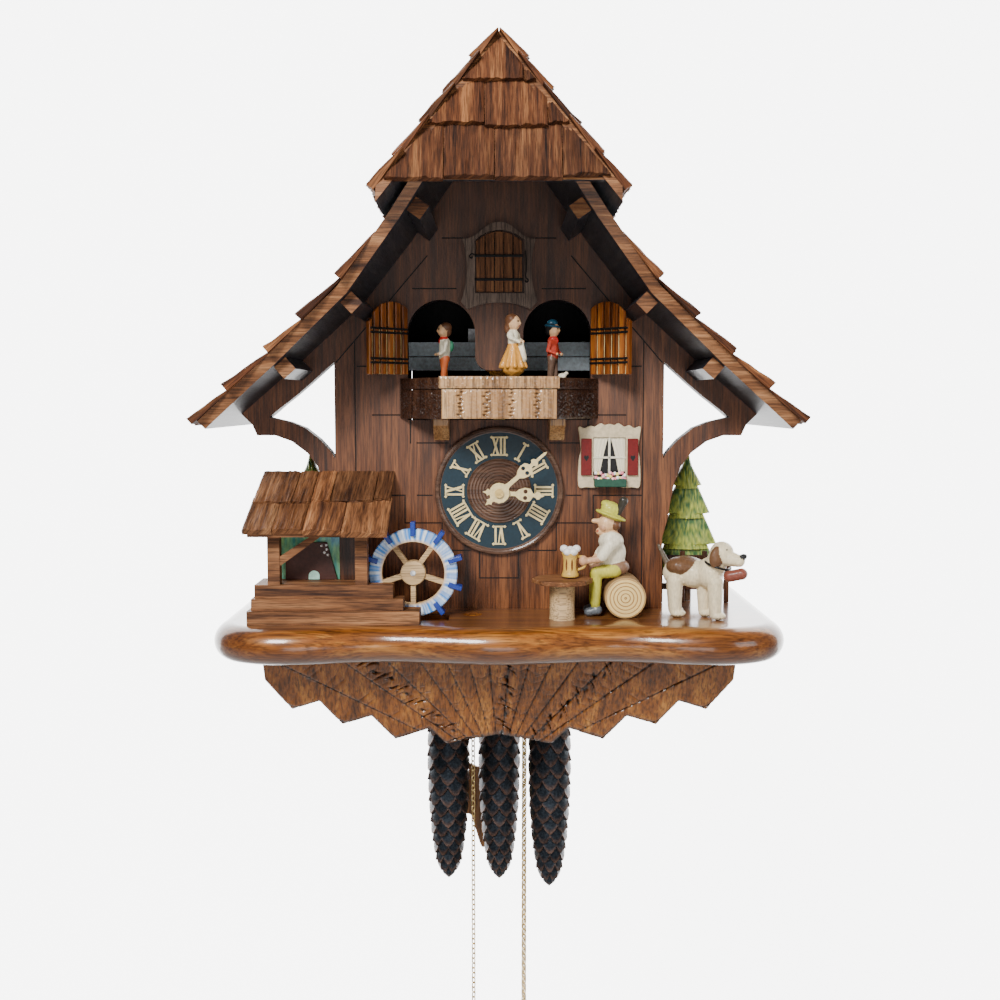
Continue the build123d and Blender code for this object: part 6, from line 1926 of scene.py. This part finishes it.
def make_mug():
    """Beer mug with dark gaps between its staves, and foam."""
    centre = (41.6, ARM_Y, 25.2)
    cup = turned("mug", [(4.9, 0), (5.1, 0.8), (4.7, 1.9), (4.3, 2.8), (4.2, 11.4), (4.6, 12.6), (4.9, 13.6),
                         (4.5, 14.2), (0.2, 14.2)], centre, "mug_yellow", 40, "Z")
    gaps = Bag()
    for number in range(8):
        angle = 2 * pi * number / 8 + 0.2
        x, y = centre[0] + 4.1 * cos(angle), centre[1] + 4.1 * sin(angle)
        add_ball(gaps, (x, y, centre[2] + 7.1), 0.62, (0.14, 0.045, 0.012), (1, 1, 6.0))
    foam = Bag()
    for number in range(7):
        angle = 2 * pi * number / 6
        reach = 3.6 if number < 6 else 0.0
        add_ball(foam, (centre[0] + reach * cos(angle), centre[1] + reach * sin(angle),
                        centre[2] + 15.6 + 0.9 * wobble(number + 3)), 2.5, (0.85, 0.80, 0.76),
                 (1, 1, 0.9), 10, 14)
    handle = loop_wire("mug_handle", [(46.0, ARM_Y, 37.0), (49.6, ARM_Y, 36.0), (49.9, ARM_Y, 31.0),
                       (46.0, ARM_Y, 29.0)], 0.8, "mug_yellow")
    pieces = [cup, gaps.piece("mug_gaps", "paint", "paint"), foam.piece("mug_foam", "paint", "paint")]
    for piece in pieces[1:]:
        smooth(piece, 70)
    return pieces + [handle]


def make_dog():
    """Big cream dog with a brown saddle and ears, and a barrel on its collar."""
    dog = Carving()
    brown = (0.13, 0.062, 0.028)
    front = PANEL_Y
    dog.ball((107.5, front - 21, 25.5), (10.0, 8.0, 8.2), CREAM_PAINT)
    dog.ball((116.0, front - 25, 25.5), (10.5, 8.4, 8.6), CREAM_PAINT)
    dog.ball((124.0, front - 30, 26.5), (8.2, 8.4, 9.6), CREAM_PAINT)
    dog.ball((111.0, front - 23.0, 29.6), (12.6, 8.8, 6.4), brown, (0, 4, 22))
    legs = [((104.5, front - 15.5), 3.3), ((104.0, front - 27.0), 3.8), ((121.0, front - 26.0), 3.4),
            ((126.0, front - 36.5), 3.8)]
    for (x, y), radius in legs:
        dog.limb((x, y, 22.0), (x + 0.4, y, 4.0), radius + 1.1, radius, CREAM_PAINT)
        dog.ball((x + 1.9, y - 1.0, 2.3), (4.6, 3.7, 2.3), CREAM_PAINT)
        for toe in (-1.6, 0.4, 2.2):
            dog.spot((x + 6.0, y - 1.0 + toe * 0.9, 0.9), 0.8, BLACK_PAINT)
            dog.spot((x + 2.2 + toe, y - 4.6, 0.9), 0.8, BLACK_PAINT)
    dog.limb((126.5, front - 32.5, 31.0), (128.5, front - 35.0, 37.0), 6.6, 6.6, CREAM_PAINT)
    dog.ball((129.6, front - 36.5, 39.4), (7.0, 6.6, 6.8), CREAM_PAINT)
    dog.limb((133.0, front - 39.0, 36.6), (138.6, front - 42.4, 35.4), 4.8, 3.6, CREAM_PAINT)
    dog.ball((140.6, front - 43.6, 38.0), (2.6, 2.2, 1.8), BLACK_PAINT, (0, -20, 30))
    dog.ball((126.0, front - 40.4, 37.4), (4.4, 2.6, 6.6), brown, (0, 12, 10))
    dog.ball((131.4, front - 30.2, 38.0), (4.0, 2.2, 5.6), brown)
    dog.limb((100.5, front - 18.5, 31.0), (95.5, front - 16.0, 41.5), 2.0, 0.9, (0.10, 0.075, 0.05))
    dog.spot((131.5, front - 42.8, 42.2), 0.85, BLACK_PAINT)
    dog.spot((135.5, front - 39.8, 42.4), 0.85, BLACK_PAINT)
    body = dog.piece("dog_body", 0.5, 0.22, 3)
    finish_piece(body, "case", ["dog"])
    barrel = Carving()
    barrel.limb((133.0, front - 42.8, 26.6), (139.8, front - 44.6, 28.2), 3.5, 3.5, (0.20, 0.055, 0.035))
    keg = barrel.piece("dog_barrel", 0.45, 0.06, 2)
    collar = loop_wire("dog_collar", [(132.8, front - 40.0, 30.0), (125.8, front - 41.6, 31.6),
                       (120.8, front - 33.5, 33.8), (126.4, front - 25.6, 33.6),
                       (134.6, front - 31.4, 31.2)], 0.7, "black", True)
    for piece in (keg, collar):
        finish_piece(piece, "case")


def make_bird():
    """Cuckoo with a grey-brown back, pale breast and yellow beak."""
    bird = Carving()
    grey, pale = (0.16, 0.12, 0.09), (0.62, 0.56, 0.44)
    bird.ball((0, -92, 206), (4.4, 8.2, 4.4), grey, (20, 0, 0))
    bird.ball((0, -96, 204.4), (3.7, 5.4, 3.7), pale, (24, 0, 0))
    bird.ball((0, -99.6, 211.2), (3.3, 3.6, 3.5), grey)
    bird.limb((0, -102.4, 211.0), (0, -105.6, 210.6), 1.1, 0.5, (0.72, 0.40, 0.05))
    bird.ball((0, -82.5, 201.6), (2.3, 5.2, 0.9), grey, (24, 0, 0))
    for side in (-1, 1):
        bird.ball((side * 4.2, -91, 206.4), (0.9, 6.4, 2.6), (0.08, 0.06, 0.05), (22, 0, 0))
        bird.spot((side * 2.6, -101.4, 212.2), 0.7, BLACK_PAINT)
    bird.limb((0, -92.6, 203.5), (0, -92.6, 198.0), 0.8, 0.8, grey)
    body = bird.piece("cuckoo", 0.4, 0.12, 2)
    carriage = boxes("cuckoo_carriage", [(-3, 3, -56, -50, 190, 199), (-0.9, 0.9, -96, -52, 196.6, 198.3)],
                     "steel", 0.2)
    for piece in (body, carriage):
        finish_piece(piece, "bird")
    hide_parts("bird")


# ---- Trees and fences -----------------------------------------------------------------
TREE_HALF = [(0, 96), (3, 86), (9.5, 74), (6, 75.5), (15, 56), (9.5, 58), (19.5, 36), (12.5, 38.5),
             (21, 18), (3.5, 19.5), (3.5, 0), (0, 0)]


def tree_half_width(z):
    """Half width of the fir at a height."""
    widest = 0.0
    for (x0, z0), (x1, z1) in zip(TREE_HALF, TREE_HALF[1:]):
        if min(z0, z1) <= z <= max(z0, z1) and z0 != z1:
            widest = max(widest, x0 + (x1 - x0) * (z - z0) / (z1 - z0))
    return widest


def make_tree(name, side):
    """Fir carved in layers, each painted from dark green to yellow tips."""
    bag = Bag()
    columns, rows = 40, 150
    points, tints = [], []
    for row in range(rows + 1):
        z = 0.2 + 95.6 * row / rows
        half = max(0.15, tree_half_width(z))
        for column in range(columns + 1):
            u = 2 * column / columns - 1
            x = half * u
            tier = ((z - 14) / 19.3) % 1.0
            needle = noise.noise(Vector((x * 0.9, z * 0.22, side * 3.0)))
            relief = (1 - tier) * 2.4 + 0.9 * needle
            round_off = 4.2 * sqrt(max(0.0, 1 - u * u))
            trunk = z < 17.5
            y = -88 - round_off - (0.0 if trunk else relief * sqrt(max(0.0, 1 - abs(u))))
            points.append((side * (120 + x), y, z))
            shade = max(0.0, min(1.0, 0.35 + 0.9 * needle + 0.55 * (0.5 - tier)))
            green = (0.055 + 0.42 * shade, 0.13 + 0.37 * shade, 0.045 + 0.03 * shade)
            tints.append((0.12, 0.06, 0.03) if trunk else green)
    count = len(points)
    bag.add(points, grid_faces(columns, rows))
    bag.add([(x, -84.2, z) for x, _, z in points], grid_faces(columns, rows))
    bag.tints = tints + tints
    rim = [row * (columns + 1) for row in range(rows + 1)]
    rim += [rows * (columns + 1) + column for column in range(1, columns + 1)]
    rim += [row * (columns + 1) + columns for row in range(rows - 1, -1, -1)]
    rim += list(range(columns - 1, 0, -1))
    for a, b in zip(rim, rim[1:] + rim[:1]):
        bag.faces.append((a, b, b + count, a + count))
    tree = bag.piece(name, "paint", "paint")
    fix_normals(tree)
    smooth(tree, 60)
    return tree


def make_garden():
    """Both firs and the dark rail fences."""
    rows = []
    for side in (-1, 1):
        for z in (8, 17, 26):
            rows.append((side * 99.5, side * 146, -97, -95, z, z + 4))
        for x in (102, 116, 130, 144):
            rows.append((side * (x - 1.5), side * (x + 1.5), -100, -97, 0.1, 33))
    rows = [(min(a, b), max(a, b), c, d, e, f) for a, b, c, d, e, f in rows]
    fence = boxes("fences", rows, "dark", 0.4)
    pieces = [make_tree("fir_right", 1), make_tree("fir_left", -1), fence]
    for piece in pieces:
        finish_piece(piece, "case")
    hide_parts("trees_and_fences")


# ---- Pendulum leaf --------------------------------------------------------------------
PENDULUM_LEAN = 2.2
PENDULUM_Z = 112.0
PENDULUM_Y = -24.0


def make_leaf():
    """Carved maple leaf, a plate with rounded edges."""
    half = [(0, -124), (5, -131), (12, -129), (13, -137), (21, -138), (18, -146), (22.5, -153),
            (16, -157), (17.5, -166), (10, -166), (6, -176), (0, -190)]
    lean = radians(PENDULUM_LEAN)
    loop = [(x * cos(lean) + (z - PENDULUM_Z) * sin(lean), PENDULUM_Z - x * sin(lean)
             + (z - PENDULUM_Z) * cos(lean)) for x, z in soft_line(mirrored_loop(half), 5)]
    leaf = plate("carved_leaf", [loop], PENDULUM_Y - 2.9, 4.2, "carved", 1.2)
    finish_piece(leaf, "pendulum")
    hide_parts("pendulum_leaf")


# ---- Materials for the design's own nodes ---------------------------------------------
NODE_LOOKS = {
    "front_panel": "panel", "side_walls": "sides", "back_board": "back", "back_door": "back",
    "base_slab": "base", "apron": "carved", "roof_frame": "soffit", "shingles": "shake",
    "arch_shutters": "dark", "balcony": "dark", "door_surround": "surround", "window": "plain",
    "dial": "dark", "numerals": "plain", "mill_steps": "mill", "mill_frame": "mill",
    "log_seat": "plain", "drinker": "plain", "table": "mill", "dog": "plain",
    "trees_and_fences": "dark", "movement_frame": "brass", "minute_arbor": "brass",
    "minute_hand": "plain", "hour_wheel": "brass", "hour_hand": "plain", "minute_wheel": "brass",
    "pendulum_rod": "steel", "pendulum_leaf": "dark", "whistles": "plain",
    "bellows_right": "plain", "bellows_left": "plain", "gong": "steel", "gong_hammer": "steel",
    "music_box": "steel", "turntable": "dark", "dancers": "plain", "cuckoo_door": "dark",
    "bird": "plain", "mill_wheel": "mill", "drinker_arm": "plain", "chain_wraps": "brass",
    "sprocket": "brass", "weight_chain": "brass", "weight": "steel", "free_chain": "brass",
    "chain_hank": "brass", "pull_ring": "brass",
}


def dress_nodes():
    """Give every design node its procedural material."""
    for name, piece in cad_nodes().items():
        look = NODE_LOOKS.get(name) or NODE_LOOKS[name.rsplit("_", 1)[0]]
        piece.data.materials.clear()
        piece.data.materials.append(MATERIALS[look])


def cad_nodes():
    """The design's node objects by name."""
    return {name: bpy.data.objects[name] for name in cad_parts}


make_camera()
make_free_chains()
make_weight_chains()
make_stage()
dress_nodes()
make_shakes()
for cone_number, (cone_x, cone_y, cone_bottom) in enumerate(WEIGHTS):
    make_cone(cone_number + 1, cone_x, cone_y, cone_bottom)
make_apron()
make_dial()
make_numerals()
make_hands()
make_cuckoo_door()
make_arch_shutters()
make_balcony()
make_window()
make_mill_wheel()
make_mill_scene()
make_log()
make_table()
make_interior()
make_dancers()
make_drinker()
make_dog()
make_bird()
make_garden()
make_leaf()
